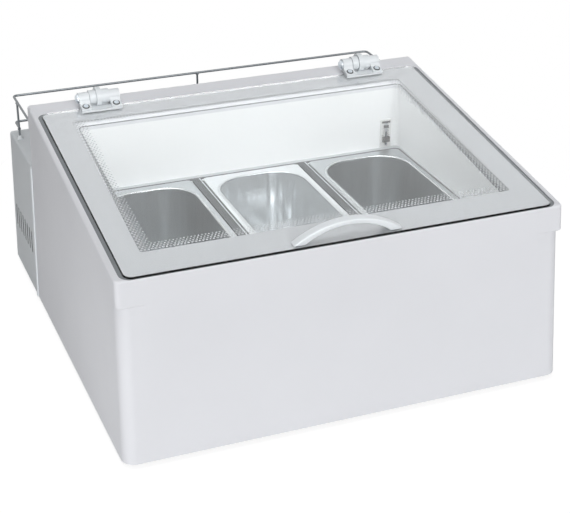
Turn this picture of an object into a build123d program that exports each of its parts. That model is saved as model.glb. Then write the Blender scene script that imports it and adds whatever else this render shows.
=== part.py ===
"""Counter-top ice cream display case: an insulated tub with three pans under a sloped
hinged glass lid, and a lower refrigeration housing with a wire guard rail behind it.

Millimetres, +Z up, front at -Y. The origin is under the middle of the case, on the counter.
"""
import os
from math import cos, radians, sin, tan

from build123d import *

os.makedirs("parts", exist_ok=True)

# Outer form
case_width = 687.0  # across the bottom edge
case_depth = 536.0  # from the front bottom edge to the seam with the housing
housing_depth = 172.0
housing_height = 235.0  # above the bottom edge
rim_rear_height = 342.0  # rim's top at the seam, above the bottom edge
lid_slope = 7.3  # degrees, the lid falls towards the front
side_draft = 1.6  # degrees, the moulded sides lean inwards
front_draft = 4.5  # degrees, the front leans back
corner_radius = 20.0  # upright corners
housing_edge_radius = 4.0
shell_wall = 3.0
sheet = 1.5  # folded steel of the housing
hem_reach = 2.0  # folded front edge of the housing, proud of its sides
hem_depth = 6.0
relief_radius = 1.6  # small hole at the top of the fold

# Feet and floor plates
foot_height = 10.0
foot_radius = 18.0
foot_inset_x = 75.0
foot_inset_y = 62.0
foot_edge = 3.0
plate_thickness = 2.0
plate_recess = 2.0  # the plates lie this far above the bottom edge
plate_gap = 1.5
tray_lip = 14.0

# Pans and dividers
pan_width = 165.0
pan_length = 360.0
pan_depth = 150.0
pan_wall = 1.5
pan_flange = 10.0  # along the sides
pan_end_flange = 17.0  # at the front and rear
pan_flange_thickness = 2.0
pan_flange_corner = 8.0
pan_opening_radius = 52.0
pan_floor_radius = 18.0
pan_lip_radius = 1.2
pan_taper = 3.0
pan_gap = 19.5
pan_front_set = 69.5  # front edge of the pans behind the front bottom edge
pan_seat_height = 214.6  # underside of the pan flanges above the bottom edge
divider_rib = 15.0
divider_shelf = 33.0
divider_thickness = 2.0
divider_end_gap = 1.0
lift_gap = 0.4  # between the lifting pans and what carries them

# Liner
liner_wall = 2.0
liner_side_ledge = 8.0
liner_front_ledge = 6.0
liner_rear_ledge = 19.0
liner_corner = 8.0
flange_bearing = 5.0  # width of ledge under a pan flange
well_corner = 22.0
well_floor_gap = 10.0

# Rim, gasket and glass
rim_plate = 12.0  # rim above the walls
rim_skirt = 39.0
rim_overhang = 2.0
rim_shell_gap = 0.3
rim_bullnose = 4.0
rim_corner = 8.0
rim_rear_corner = 5.0
rim_skirt_edge = 1.4
glass_thickness = 5.0
glass_corner = 12.0
glass_drop = -2.0  # glass top below the rim's top, so it stands proud
glass_side_set = 20.9  # glass side edge to the case's bottom edge
glass_front_set = 18.6  # glass front edge behind the case's bottom edge
glass_rear_set = 37.9  # glass rear edge to the seam, along the slope
glass_edge = 0.8
gasket_side = 6.3
gasket_end = 2.0
gasket_bed = 2.0
gasket_bed_width = 16.0
gasket_drop = 2.6  # gasket's upstand below the glass top
glass_gap = 0.5  # between the glass and the gasket

# Lid hinges
hinge_side_set = 95.5  # middle of a hinge to the glass side edge
hinge_axis_back = 9.0  # behind the glass rear edge, along the slope
hinge_axis_rise = 13.0  # above the glass top
hinge_pin_radius = 3.0
hinge_side_gap = 0.4
hinge_knuckle_radius = 9.5
hinge_centre_radius = 11.5
hinge_centre_width = 32.0
hinge_collar_radius = 15.4  # ring round the bracket's knuckle
hinge_collar_width = 8.0
hinge_collar_set = 1.5  # left of the hinge's middle
hinge_knuckle_width = 16.5
hinge_pin_overrun = 1.5
hinge_cap_radius = 7.5  # head of the pin
hinge_cap_length = 4.0
hinge_cap_edge = 2.0
hinge_foot_front = 17.0  # in front of the glass rear edge
hinge_foot_rear = 3.0
hinge_foot_thickness = 3.0
hinge_pad_set = 2.0  # screw pad behind the foot's front edge
hinge_pad_rise = 7.5  # pad's middle above the glass top
hinge_pad_tilt = 14.0  # degrees
hinge_edge = 1.0
bracket_foot = 4.0
bracket_front = 4.0  # in front of the hinge axis
bracket_rear = 20.0  # behind the hinge axis
bracket_screw_back = 15.5
bracket_screw_x = 10.0
bracket_screw_length = 10.0
screw_radius = 2.0
screw_head_radius = 4.0
screw_head_height = 2.4
screw_sink = 1.2
screw_gap = 0.2
screw_length = 5.0
screw_slot = 1.0

# Lid handle
handle_reach = 82.0  # half span over the feet
handle_inner = 63.0
handle_rise = 28.0
handle_thickness = 7.5
handle_depth = 14.0
handle_set = 12.5  # behind the glass front edge
handle_edge = 2.2

# Guard rail
wire_radius = 2.0
rail_inset_side = 9.0
rail_inset_rear = 10.0
rail_height = 66.5
rail_low_height = 20.0
rail_bend = 7.0
rail_post_set = 30.0  # side posts in front of the rear wire
rail_post_radius = 1.8

# Side and rear vents
louvre_count = 8
louvre_pitch = 17.0
louvre_length = 40.0
louvre_width = 6.0
louvre_height = 87.0  # middle of the row above the bottom edge
louvre_rear_set = 19.0  # rearmost slot to the rear edge
vent_rows = 6
vent_columns = 2
vent_pitch_z = 15.0
vent_pitch_x = 84.0
vent_length = 72.0
vent_width = 6.0
vent_side_set = 128.5  # middle of each group of vents to the side
vent_height = 100.0

# Rear panel and its controls
panel_recess = 12.0
panel_gap = 0.8
panel_lip = 12.0
panel_screw_set = 83.5  # outer screws to the side
control_height = 150.0
bezel_thickness = 2.0
bezel_corner = 2.0
running_gap = 0.05  # radial, between turning pieces and their bores
knob_x = 60.0
knob_radius = 15.0
knob_height = 9.0
knob_gap = 0.6
knob_flutes = 12
knob_flute_radius = 1.6
knob_edge = 1.0
knob_mark = 1.6
shaft_radius = 3.0
shaft_length = 18.0
bush_radius = 6.0
thermostat_width = 42.0
thermostat_depth = 30.0
thermostat_height = 34.0
sensor_radius = 2.0
sensor_x = 75.0
switch_x = 0.0
switch_width = 24.0
switch_length = 32.0
switch_depth = 24.0
switch_bezel = 3.0
rocker_width = 15.0
rocker_length = 22.0
rocker_gap = 1.3
rocker_sink = 4.0  # pivot below the bezel's face
rocker_crown = 4.5
rocker_belly = 2.5
rocker_tilt = 8.0  # degrees, half of the rocker's travel
rocker_pocket = 9.0
rocker_pin_radius = 1.5
rocker_stub = 2.0
rocker_stub_gap = 0.4
inlet_x = -60.0
inlet_width = 30.0
inlet_height = 24.0
inlet_depth = 26.0
inlet_bezel = 3.0
socket_width = 23.0
socket_height = 16.0
socket_depth = 15.0
inlet_pin_width = 2.0
inlet_pin_height = 4.0
inlet_pin_length = 11.0
inlet_pin_pitch = 7.0
earth_pin_rise = 2.0

# Evaporator
tube_radius = 4.0
tube_gap = 1.0
coil_turns = 3
coil_pitch = 30.0
coil_low_height = 112.0
tail_bend = 10.0
tail_length = 12.0  # evaporator ends standing into the housing
liquid_tail_x = 90.0
suction_tail_set = 100.0  # beside the compressor's middle

# Compressor
compressor_side_set = 143.5  # middle to the left side
compressor_set = 80.0  # behind the seam
compressor_radius = 65.0
compressor_height = 162.0
compressor_dome = 34.0
compressor_foot_round = 18.0
compressor_seam_radius = 68.0
compressor_seam_height = 6.0
compressor_seam_level = 95.0
mount_length = 150.0
mount_width = 110.0
mount_thickness = 3.0
mount_corner = 12.0
grommet_height = 8.0
grommet_radius = 9.0
grommet_pitch_x = 128.0
grommet_pitch_y = 88.0
bolt_radius = 3.0
nut_radius = 5.5
nut_height = 4.0
stub_radius = 4.0
stub_length = 10.0
suction_stub_height = 140.0
relay_length = 40.0
relay_width = 52.0
relay_height = 66.0
relay_level = 20.0  # above the pot's bottom
relay_sink = 12.0  # its hollowed side reaches round the pot
relay_edge = 3.0

# Condenser and fan
condenser_side_set = 118.5  # inner face to the right side
condenser_set = 79.0  # middle, behind the seam
condenser_thickness = 60.0
condenser_width = 112.0
condenser_height = 160.0
fin_count = 20
fin_slot = 3.4
fin_depth = 9.0
fin_end = 6.0
bend_tubes = 8
bend_pitch = 18.0
bend_level = 12.0
bend_room = 0.1
condenser_inlet_set = 80.0
condenser_outlet_set = 40.0
shroud_depth = 22.0
shroud_wall = 2.0
fan_ring_radius = 50.0
fan_collar = 8.0
fan_gap = 3.0
fan_hub_radius = 15.0
fan_hub_length = 16.0
fan_set = 2.0  # hub's middle in front of the shroud's face
fan_blades = 5
fan_blade_root = 16.0
fan_blade_chord = 34.0
fan_blade_thickness = 2.0
fan_blade_pitch = 28.0
fan_motor_radius = 28.0
fan_motor_length = 40.0
fan_motor_gap = 6.0
fan_motor_edge = 4.0
fan_shaft_radius = 3.0
fan_shaft_reach = 24.0  # into the motor
fan_bore_gap = 3.0
fan_bracket_thickness = 3.0
fan_bracket_width = 16.0
fan_leg_radius = 4.0

# Pipes, drier and terminal box
pipe_radius = 3.0
pipe_bend = 9.0
pipe_top_height = 212.0  # discharge pipe above the bottom edge
liquid_top_height = 196.0
drier_x = 60.0
drier_set = 40.0  # behind the seam
drier_radius = 10.0
drier_low_height = 72.0
drier_high_height = 168.0
drier_cone = 14.0
capillary_radius = 1.5
capillary_bend = 7.0
capillary_low_height = 46.0
terminal_x = 10.0
terminal_set = 118.0
terminal_length = 70.0
terminal_width = 44.0
terminal_height = 40.0
terminal_wall = 2.0
terminal_lid_height = 5.0

# Thermometer on the liner's rear wall
thermometer_side_set = 23.0  # middle to the liner's right wall
thermometer_width = 19.0
thermometer_height = 50.0
thermometer_thickness = 3.0
thermometer_tube_radius = 2.2
thermometer_tube_length = 40.0
thermometer_tube_sink = 0.8

# Levels and positions that follow from the sizes above
total_depth = case_depth + housing_depth
front_y = -total_depth / 2
seam_y = front_y + case_depth
rear_y = front_y + total_depth
plate_z = foot_height
bottom_z = plate_z - plate_recess
plate_top = plate_z + plate_thickness
housing_top = bottom_z + housing_height
form_height = rim_rear_height + rim_plate
ledge_z = bottom_z + pan_seat_height
pan_top = ledge_z + pan_flange_thickness
pan_pitch = pan_width + pan_gap
row_half = pan_pitch + pan_width / 2
pan_front = front_y + pan_front_set
pan_rear = pan_front + pan_length
pan_middle = (pan_front + pan_rear) / 2
liner_half = row_half + liner_side_ledge
liner_front = pan_front - liner_front_ledge
liner_rear = pan_rear + liner_rear_ledge
well_half = row_half - flange_bearing
well_front = pan_front + flange_bearing
well_rear = pan_rear - flange_bearing
well_floor = pan_top - pan_depth - well_floor_gap
glass_width = case_width - 2 * glass_side_set
glass_length = case_depth - glass_front_set - glass_rear_set
hinge_offset_x = glass_width / 2 - hinge_side_set
thermometer_x = liner_half - thermometer_side_set
compressor_x = compressor_side_set - case_width / 2
suction_tail_x = compressor_x + suction_tail_set
condenser_x = case_width / 2 - condenser_side_set
vent_offset_x = case_width / 2 - vent_side_set
panel_screw_x = case_width / 2 - panel_screw_set
slope = radians(lid_slope)
panel_outer = rear_y - panel_recess
panel_inner = panel_outer - sheet
control_z = bottom_z + control_height
condenser_y = seam_y + condenser_set
lid_axis = Axis((0, seam_y, bottom_z + rim_rear_height), (0, -sin(slope), cos(slope)))


def lid_plane(depth, along=0.0, x=0.0):
    """Plane parallel to the lid, depth below the rim's top; along runs up the slope from the seam."""
    top = Plane(
        origin=(0, seam_y, bottom_z + rim_rear_height),
        x_dir=(1, 0, 0),
        z_dir=(0, -sin(slope), cos(slope)),
    )
    return Plane(origin=top.from_local_coords((x, along, -depth)), x_dir=top.x_dir, z_dir=top.z_dir)


def lid_section(x, along, depth):
    """Plane across the lid at x: its first axis runs up the slope, its second away from the glass."""
    return Plane(
        origin=lid_plane(depth, along, x).origin,
        x_dir=(0, cos(slope), sin(slope)),
        z_dir=(1, 0, 0),
    )


def upright(y):
    """Plane facing the front at y; its axes are the case's X and Z."""
    return Plane.XZ.offset(-y)


def save(piece, name):
    """Label a finished piece and write its file."""
    piece.part.label = name
    export_step(piece.part, f"parts/{name}.step")


def side_block(inset, y_low, y_high, z_low, z_high, top_radius=0.0):
    """Block between the leaning side walls, pulled in by inset, its top edges rounded if asked."""
    lean = tan(radians(side_draft))
    low_half = case_width / 2 - inset - lean * (z_low - bottom_z)
    high_half = case_width / 2 - inset - lean * (z_high - bottom_z)
    with BuildPart() as block:
        with BuildSketch(upright(y_high)) as outline:
            with BuildLine():
                Polyline(
                    (-low_half, z_low),
                    (low_half, z_low),
                    (high_half, z_high),
                    (-high_half, z_high),
                    close=True,
                )
            make_face()
            if top_radius:
                fillet(outline.vertices().group_by(Axis.Y)[-1], top_radius)
        extrude(amount=y_high - y_low)
    return block.part


def case_block(inset, y_high, z_low, z_high, corner, rear_corner=0.0):
    """Block of the case's drafted form from its leaning front to y_high, its upright corners rounded."""
    lean = tan(radians(front_draft))
    low_front = front_y + inset + lean * (z_low - bottom_z)
    high_front = front_y + inset + lean * (z_high - bottom_z)
    sides = side_block(inset, low_front, y_high, z_low, z_high)
    with BuildPart() as block:
        add(sides)
        with BuildSketch(Plane.YZ):
            with BuildLine():
                Polyline(
                    (low_front, z_low),
                    (y_high, z_low),
                    (y_high, z_high),
                    (high_front, z_high),
                    close=True,
                )
            make_face()
        extrude(amount=case_width, both=True, mode=Mode.INTERSECT)
        upright_edges = block.faces().sort_by(Axis.Y)[0].edges().filter_by(Axis.X, reverse=True)
        fillet(upright_edges, corner)
        if rear_corner:
            rear_edges = block.faces().sort_by(Axis.Y)[-1].edges().filter_by(Axis.X, reverse=True)
            fillet(rear_edges, rear_corner)
    return block.part


def tub_block(half_width, y_low, y_high, z_low, z_high, radius):
    """Upright block with rounded corners, used for the hollows of the tub."""
    with BuildPart() as block:
        with BuildSketch(Plane.XY.offset(z_low)):
            with Locations((0, (y_low + y_high) / 2)):
                RectangleRounded(2 * half_width, y_high - y_low, radius)
        extrude(amount=z_high - z_low)
    return block.part


def tube_along(points, bend, radius):
    """Round tube through points; bend is one radius, or a list with one for each corner."""
    with BuildPart() as tube:
        with BuildLine() as route:
            FilletPolyline(*points, radius=bend)
        with BuildSketch(route.line ^ 0):
            Circle(radius)
        sweep()
    return tube.part


# Hollows and levels shared by the tub's layers
rim_top_limit = bottom_z + form_height
core_corner = corner_radius - shell_wall
case_form = case_block(0, seam_y, bottom_z, rim_top_limit, corner_radius)
core_form = case_block(shell_wall, seam_y - shell_wall, bottom_z, rim_top_limit, core_corner)
chamber = tub_block(liner_half, liner_front, liner_rear, ledge_z, rim_top_limit, liner_corner)
well = tub_block(well_half, well_front, well_rear, well_floor, ledge_z, well_corner)
chamber_outer = tub_block(
    liner_half + liner_wall,
    liner_front - liner_wall,
    liner_rear + liner_wall,
    ledge_z - liner_wall,
    rim_top_limit,
    liner_corner + liner_wall,
)
well_outer = tub_block(
    well_half + liner_wall,
    well_front - liner_wall,
    well_rear + liner_wall,
    well_floor - liner_wall,
    ledge_z - liner_wall,
    well_corner + liner_wall,
)

# Route of the evaporator tube, wound up the outside of the well
coil_half = well_half + liner_wall + tube_radius
coil_front = well_front - liner_wall - tube_radius
coil_rear = well_rear + liner_wall + tube_radius
coil_levels = [bottom_z + coil_low_height + turn * coil_pitch for turn in range(coil_turns)]
tail_end = seam_y + tail_length
coil_points = [(liquid_tail_x, tail_end, coil_levels[0]), (liquid_tail_x, coil_rear, coil_levels[0])]
for level in coil_levels:
    coil_points += [
        (coil_half, coil_rear, level),
        (coil_half, coil_front, level),
        (-coil_half, coil_front, level),
        (-coil_half, coil_rear, level),
    ]
coil_points += [(suction_tail_x, coil_rear, coil_levels[-1]), (suction_tail_x, tail_end, coil_levels[-1])]
tail_holes = [(liquid_tail_x, coil_levels[0]), (suction_tail_x, coil_levels[-1])]
tail_hole = tube_radius + tube_gap
sensor_share = (sensor_x + coil_half) / (2 * coil_half)
sensor_z = coil_levels[0] + coil_pitch * (sensor_share + 0.5)  # between two runs of the tube
wall_holes = tail_holes + [(sensor_x, sensor_z)]
coil_corner = well_corner + liner_wall + tube_radius
coil_bends = [tail_bend] + [coil_corner] * (4 * coil_turns) + [tail_bend]

# Outer shell, open below and above
with BuildPart() as outer_shell:
    add(case_form)
    add(core_form, mode=Mode.SUBTRACT)
    split(bisect_by=lid_plane(rim_plate), keep=Keep.BOTTOM)
    with BuildSketch(upright(seam_y)):
        with Locations(*wall_holes):
            Circle(tail_hole)
    extrude(amount=2 * shell_wall, both=True, mode=Mode.SUBTRACT)
save(outer_shell, "outer_shell")

# Base plate under the insulation
plate_inset = shell_wall + plate_gap
plate_corner = corner_radius - plate_inset
plate_block = case_block(plate_inset, seam_y - plate_inset, plate_z, plate_top, plate_corner)
with BuildPart() as base_plate:
    add(plate_block)
save(base_plate, "base_plate")

# Rubber feet under the base plate and the chassis tray
with BuildPart() as rubber_feet:
    with BuildSketch():
        foot_x = case_width / 2 - foot_inset_x
        with GridLocations(2 * foot_x, total_depth - 2 * foot_inset_y, 2, 2):
            Circle(foot_radius)
    extrude(amount=foot_height)
    fillet(rubber_feet.edges().group_by(Axis.Z)[0], foot_edge)
save(rubber_feet, "rubber_feet")

# Foam between the shell and the liner, with channels for the evaporator tube
channel_depth = 2 * tube_radius + tube_gap
channel_height = 2 * (tube_radius + tube_gap)
with BuildPart() as insulation_foam:
    add(core_form)
    split(bisect_by=lid_plane(rim_plate + liner_wall), keep=Keep.BOTTOM)
    split(bisect_by=Plane.XY.offset(plate_top), keep=Keep.TOP)
    add(chamber_outer, mode=Mode.SUBTRACT)
    add(well_outer, mode=Mode.SUBTRACT)
    for level in coil_levels:
        with BuildSketch(Plane.XY.offset(level - channel_height / 2)):
            with Locations((0, (well_front + well_rear) / 2)):
                RectangleRounded(
                    2 * (well_half + liner_wall + channel_depth),
                    well_rear - well_front + 2 * (liner_wall + channel_depth),
                    well_corner + liner_wall + channel_depth,
                )
        extrude(amount=channel_height, mode=Mode.SUBTRACT)
    with BuildSketch(Plane.XY.offset(coil_levels[0] - channel_height / 2)):
        with Locations((0, well_rear + (liner_wall + channel_depth) / 2)):
            Rectangle(2 * well_half, liner_wall + channel_depth)
    extrude(amount=coil_levels[-1] - coil_levels[0] + channel_height, mode=Mode.SUBTRACT)
    with BuildSketch(upright(seam_y)):
        with Locations(*wall_holes):
            Circle(tail_hole)
    extrude(amount=seam_y - coil_rear, mode=Mode.SUBTRACT)
    with BuildSketch(upright(coil_rear + tail_bend + tube_gap)):
        with Locations(*tail_holes):
            Rectangle(2 * (tail_bend + tail_hole), channel_height)
    extrude(amount=tail_bend + tail_hole, mode=Mode.SUBTRACT)
save(insulation_foam, "insulation_foam")

# Liner with the chamber, the ledge for the pans and the well below it
flange_block = case_block(plate_inset, seam_y - plate_inset, ledge_z, rim_top_limit, plate_corner)
with BuildPart() as liner_tub:
    add(flange_block)
    split(bisect_by=lid_plane(rim_plate + liner_wall), keep=Keep.TOP)
    add(chamber_outer)
    split(bisect_by=lid_plane(rim_plate), keep=Keep.BOTTOM)
    add(well_outer)
    add(chamber, mode=Mode.SUBTRACT)
    add(well, mode=Mode.SUBTRACT)
save(liner_tub, "liner_tub")

# Evaporator tube
with BuildPart() as evaporator_coil:
    add(tube_along(coil_points, coil_bends, tube_radius))
save(evaporator_coil, "evaporator_coil")

# Sloped rim with its skirt, the glass recess and the opening over the chamber
rim_rear = seam_y + rim_overhang
rim_form = case_block(-rim_overhang, rim_rear, bottom_z, rim_top_limit, rim_corner, rim_rear_corner)
rim_hollow = case_block(-rim_shell_gap, seam_y + rim_shell_gap, bottom_z, rim_top_limit, corner_radius)
glass_rear = -glass_rear_set
glass_front = glass_rear - glass_length
glass_middle = (glass_front + glass_rear) / 2
glass_bottom = glass_drop + glass_thickness
recess_depth = glass_bottom + glass_gap + gasket_bed
recess_width = glass_width + 2 * gasket_side
recess_length = glass_length + 2 * gasket_end
with BuildPart() as rim_pocket:
    add(rim_hollow)
    split(bisect_by=lid_plane(rim_plate), keep=Keep.BOTTOM)
with BuildPart() as top_rim:
    add(rim_form)
    split(bisect_by=lid_plane(0), keep=Keep.BOTTOM)
    split(bisect_by=lid_plane(rim_skirt), keep=Keep.TOP)
    fillet(top_rim.faces().sort_by(lid_axis)[-1].edges(), rim_bullnose)
    fillet(top_rim.faces().sort_by(lid_axis)[0].edges(), rim_skirt_edge)
    add(rim_pocket.part, mode=Mode.SUBTRACT)
    add(chamber, mode=Mode.SUBTRACT)
    with BuildSketch(lid_plane(0, glass_middle)):
        RectangleRounded(recess_width, recess_length, glass_corner + gasket_end)
    extrude(amount=-recess_depth, mode=Mode.SUBTRACT)
    for hinge_x in (-hinge_offset_x, hinge_offset_x):
        with Locations(lid_plane(0, glass_rear + hinge_axis_back + bracket_screw_back, hinge_x)):
            with GridLocations(2 * bracket_screw_x, 0, 2, 1):
                Hole(screw_radius, bracket_screw_length - bracket_foot)
save(top_rim, "top_rim")

# Gasket: a bed under the glass and an upstand round its edge
with BuildPart() as lid_gasket:
    with BuildSketch(lid_plane(recess_depth, glass_middle)):
        RectangleRounded(recess_width, recess_length, glass_corner + gasket_end)
    extrude(amount=recess_depth - glass_drop - gasket_drop)
    with BuildSketch(lid_plane(recess_depth - gasket_bed, glass_middle)):
        RectangleRounded(glass_width + 2 * glass_gap, glass_length + 2 * glass_gap, glass_corner + glass_gap)
    extrude(amount=recess_depth, mode=Mode.SUBTRACT)
    with BuildSketch(lid_plane(recess_depth, glass_middle)):
        Rectangle(glass_width - 2 * gasket_bed_width, glass_length - 2 * gasket_bed_width)
    extrude(amount=recess_depth, mode=Mode.SUBTRACT)
    add(chamber, mode=Mode.SUBTRACT)
save(lid_gasket, "lid_gasket")

# Glass lid
with BuildPart() as lid_glass:
    with BuildSketch(lid_plane(glass_bottom, glass_middle)):
        RectangleRounded(glass_width, glass_length, glass_corner)
    extrude(amount=glass_thickness)
    chamfer(lid_glass.faces().sort_by(lid_axis)[-1].edges(), glass_edge)
save(lid_glass, "lid_glass")

# Bow handle standing on the front of the glass
handle_along = glass_front + handle_set
with BuildPart() as lid_handle:
    handle_plane = Plane(
        origin=lid_plane(glass_drop, handle_along).origin,
        x_dir=(1, 0, 0),
        z_dir=(0, -cos(slope), -sin(slope)),
    )
    with BuildSketch(handle_plane):
        with BuildLine():
            ThreePointArc((-handle_reach, 0), (0, handle_rise), (handle_reach, 0))
            Line((handle_reach, 0), (handle_inner, 0))
            ThreePointArc((handle_inner, 0), (0, handle_rise - handle_thickness), (-handle_inner, 0))
            Line((-handle_inner, 0), (-handle_reach, 0))
        make_face()
    extrude(amount=handle_depth / 2, both=True)
    bow_edges = lid_handle.faces().filter_by(GeomType.CYLINDER).edges().filter_by(GeomType.CIRCLE)
    fillet(bow_edges, handle_edge)
save(lid_handle, "lid_handle")

# Hinges: a leaf with two knuckles on the glass, a bracket between them on the rim, and a pin
axis_along = glass_rear + hinge_axis_back
axis_depth = glass_drop - hinge_axis_rise
knuckle_near = hinge_centre_width / 2 + hinge_side_gap
knuckle_far = knuckle_near + hinge_knuckle_width
knuckle_middle = (knuckle_near + knuckle_far) / 2
foot_low = -hinge_axis_rise
foot_high = hinge_foot_thickness - hinge_axis_rise
foot_front = -hinge_axis_back - hinge_foot_front
foot_rear = -hinge_axis_back - hinge_foot_rear
pad_front = foot_front + hinge_pad_set
pad_half = (foot_rear - pad_front) / 2
pad_climb = pad_half * tan(radians(hinge_pad_tilt))
pad_level = hinge_pad_rise - hinge_axis_rise


def screw_seat(x):
    """Plane on a leaf's tilted screw pad at x, facing up and a little forwards."""
    section = lid_section(x, axis_along, axis_depth)
    pad = section.from_local_coords((pad_front + pad_half, pad_level, 0))
    lean = slope + radians(hinge_pad_tilt)
    return Plane(origin=pad, x_dir=(1, 0, 0), z_dir=(0, -sin(lean), cos(lean)))


for side, side_name in ((-1, "left"), (1, "right")):
    hinge_x = side * hinge_offset_x
    section = lid_section(hinge_x, axis_along, axis_depth)
    seats = [screw_seat(hinge_x + end * knuckle_middle) for end in (-1, 1)]
    with BuildPart() as leaf:
        with BuildSketch(section):
            with Locations(((foot_front + foot_rear) / 2, (foot_low + foot_high) / 2)):
                Rectangle(foot_rear - foot_front, hinge_foot_thickness)
        extrude(amount=knuckle_far, both=True)
        for end in (-1, 1):
            with BuildSketch(section.offset(end * knuckle_middle)):
                with BuildLine():
                    Polyline(
                        (pad_front, foot_high),
                        (foot_rear, foot_high),
                        (0, -hinge_knuckle_radius),
                        (0, 0),
                        (-hinge_knuckle_radius, 0),
                        (foot_rear, pad_level + pad_climb),
                        (pad_front, pad_level - pad_climb),
                        close=True,
                    )
                make_face()
                Circle(hinge_knuckle_radius)
                Circle(hinge_pin_radius, mode=Mode.SUBTRACT)
            extrude(amount=hinge_knuckle_width / 2, both=True)
        with BuildSketch(section):
            Circle(hinge_collar_radius + hinge_side_gap)
        extrude(amount=knuckle_near, both=True, mode=Mode.SUBTRACT)
        with Locations(*seats):
            CounterBoreHole(
                screw_radius,
                screw_head_radius + screw_gap,
                screw_sink,
                screw_length + screw_sink,
            )
    save(leaf, f"hinge_leaf_{side_name}")

    with BuildPart() as bracket:
        with BuildSketch(section):
            with BuildLine():
                Polyline(
                    (-bracket_front, axis_depth),
                    (bracket_rear, axis_depth),
                    (bracket_rear, axis_depth + bracket_foot),
                    (hinge_centre_radius, axis_depth + bracket_foot),
                    (hinge_centre_radius, 0),
                    (-bracket_front, 0),
                    close=True,
                )
            make_face()
            Circle(hinge_centre_radius)
            with Locations((0, axis_depth - hinge_centre_radius)):
                Rectangle(4 * bracket_rear, 2 * hinge_centre_radius, mode=Mode.SUBTRACT)
        extrude(amount=hinge_centre_width / 2, both=True)
        with BuildSketch(section.offset(-hinge_collar_set)):
            Circle(hinge_collar_radius)
            with Locations((0, axis_depth - hinge_collar_radius)):
                Rectangle(2 * hinge_collar_radius, 2 * hinge_collar_radius, mode=Mode.SUBTRACT)
        extrude(amount=hinge_collar_width / 2, both=True)
        with BuildSketch(section):
            Circle(hinge_pin_radius + running_gap)
        extrude(amount=hinge_centre_width / 2, both=True, mode=Mode.SUBTRACT)
        with Locations(lid_plane(-bracket_foot, axis_along + bracket_screw_back, hinge_x)):
            with GridLocations(2 * bracket_screw_x, 0, 2, 1):
                Hole(screw_radius, bracket_foot)
    save(bracket, f"hinge_bracket_{side_name}")

    with BuildPart() as pin:
        with BuildSketch(section.offset(-knuckle_far)):
            Circle(hinge_pin_radius)
        extrude(amount=2 * knuckle_far + hinge_pin_overrun)
        with BuildSketch(section.offset(-knuckle_far)):
            Circle(hinge_cap_radius)
        extrude(amount=-hinge_cap_length)
        chamfer(pin.faces().sort_by(Axis.X)[0].edges(), hinge_cap_edge)
        chamfer(pin.faces().sort_by(Axis.X)[-1].edges(), hinge_edge)
    save(pin, f"hinge_pin_{side_name}")


def slotted_screw(seat, length):
    """Screw with its head standing on a seat plane and its shank below it."""
    with BuildPart() as screw:
        with BuildSketch(seat):
            Circle(screw_head_radius)
        extrude(amount=screw_head_height)
        with BuildSketch(seat):
            Circle(screw_radius)
        extrude(amount=-length)
        with BuildSketch(seat.offset(screw_head_height)):
            Rectangle(2 * screw_head_radius, screw_slot)
        extrude(amount=-screw_head_height / 2, mode=Mode.SUBTRACT)
    return screw.part


# Slotted screws of the leaves, and those of the brackets
leaf_seats = []
bracket_seats = []
for hinge_x in (-hinge_offset_x, hinge_offset_x):
    for end in (-1, 1):
        leaf_seats.append(screw_seat(hinge_x + end * knuckle_middle).offset(-screw_sink))
        bracket_seats.append(
            lid_plane(-bracket_foot, axis_along + bracket_screw_back, hinge_x + end * bracket_screw_x)
        )
leaf_screws = [slotted_screw(seat, screw_length) for seat in leaf_seats]
bracket_screws = [slotted_screw(seat, bracket_screw_length) for seat in bracket_seats]
with BuildPart() as hinge_screws:
    add(leaf_screws)
save(hinge_screws, "hinge_screws")
with BuildPart() as hinge_bracket_screws:
    add(bracket_screws)
save(hinge_bracket_screws, "hinge_bracket_screws")


def pan_form(inset, rise):
    """Tapered form of a pan's body with a rounded floor, pulled in by inset all round."""
    height = pan_depth - inset
    shrink = inset - pan_wall + height * tan(radians(pan_taper))
    with BuildPart() as form:
        with BuildSketch(Plane.XY.offset(pan_top - height)):
            RectangleRounded(
                pan_width - 2 * pan_flange - 2 * shrink,
                pan_length - 2 * pan_end_flange - 2 * shrink,
                pan_opening_radius - shrink,
            )
        extrude(amount=height + rise, taper=-pan_taper)
        fillet(form.edges().group_by(Axis.Z)[0], pan_floor_radius - inset)
    return form.part


# Three pans hanging by their flanges, each free to lift
pan_body = pan_form(0, 0)
pan_hollow = pan_form(pan_wall, pan_flange_thickness)
for column, pan_name in ((-1, "pan_left"), (0, "pan_centre"), (1, "pan_right")):
    place = Location((column * pan_pitch, pan_middle, 0))
    with BuildPart() as pan:
        with BuildSketch(Plane.XY.offset(ledge_z + lift_gap)):
            with Locations((column * pan_pitch, pan_middle)):
                RectangleRounded(pan_width, pan_length, pan_flange_corner)
        extrude(amount=pan_flange_thickness - lift_gap)
        add(pan_body.moved(place))
        add(pan_hollow.moved(place), mode=Mode.SUBTRACT)
        lip = pan.faces().filter_by(Plane.XY).sort_by(Axis.Z)[-1].inner_wires()[0].edges()
        fillet(lip, pan_lip_radius)
    save(pan, pan_name)

# Divider bars: a rib resting on the ledges and a shelf below it for the flanges beside it
for side, bar_name in ((-1, "divider_bar_left"), (1, "divider_bar_right")):
    bar_x = side * pan_pitch / 2
    with BuildPart() as bar:
        with BuildSketch(Plane.XY.offset(ledge_z)):
            with Locations((bar_x, pan_middle)):
                Rectangle(divider_rib, pan_length)
        extrude(amount=divider_thickness)
        with BuildSketch(Plane.XY.offset(ledge_z)):
            with Locations((bar_x, pan_middle)):
                Rectangle(divider_shelf, well_rear - well_front - 2 * divider_end_gap)
        extrude(amount=-divider_thickness)
    save(bar, bar_name)

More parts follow.
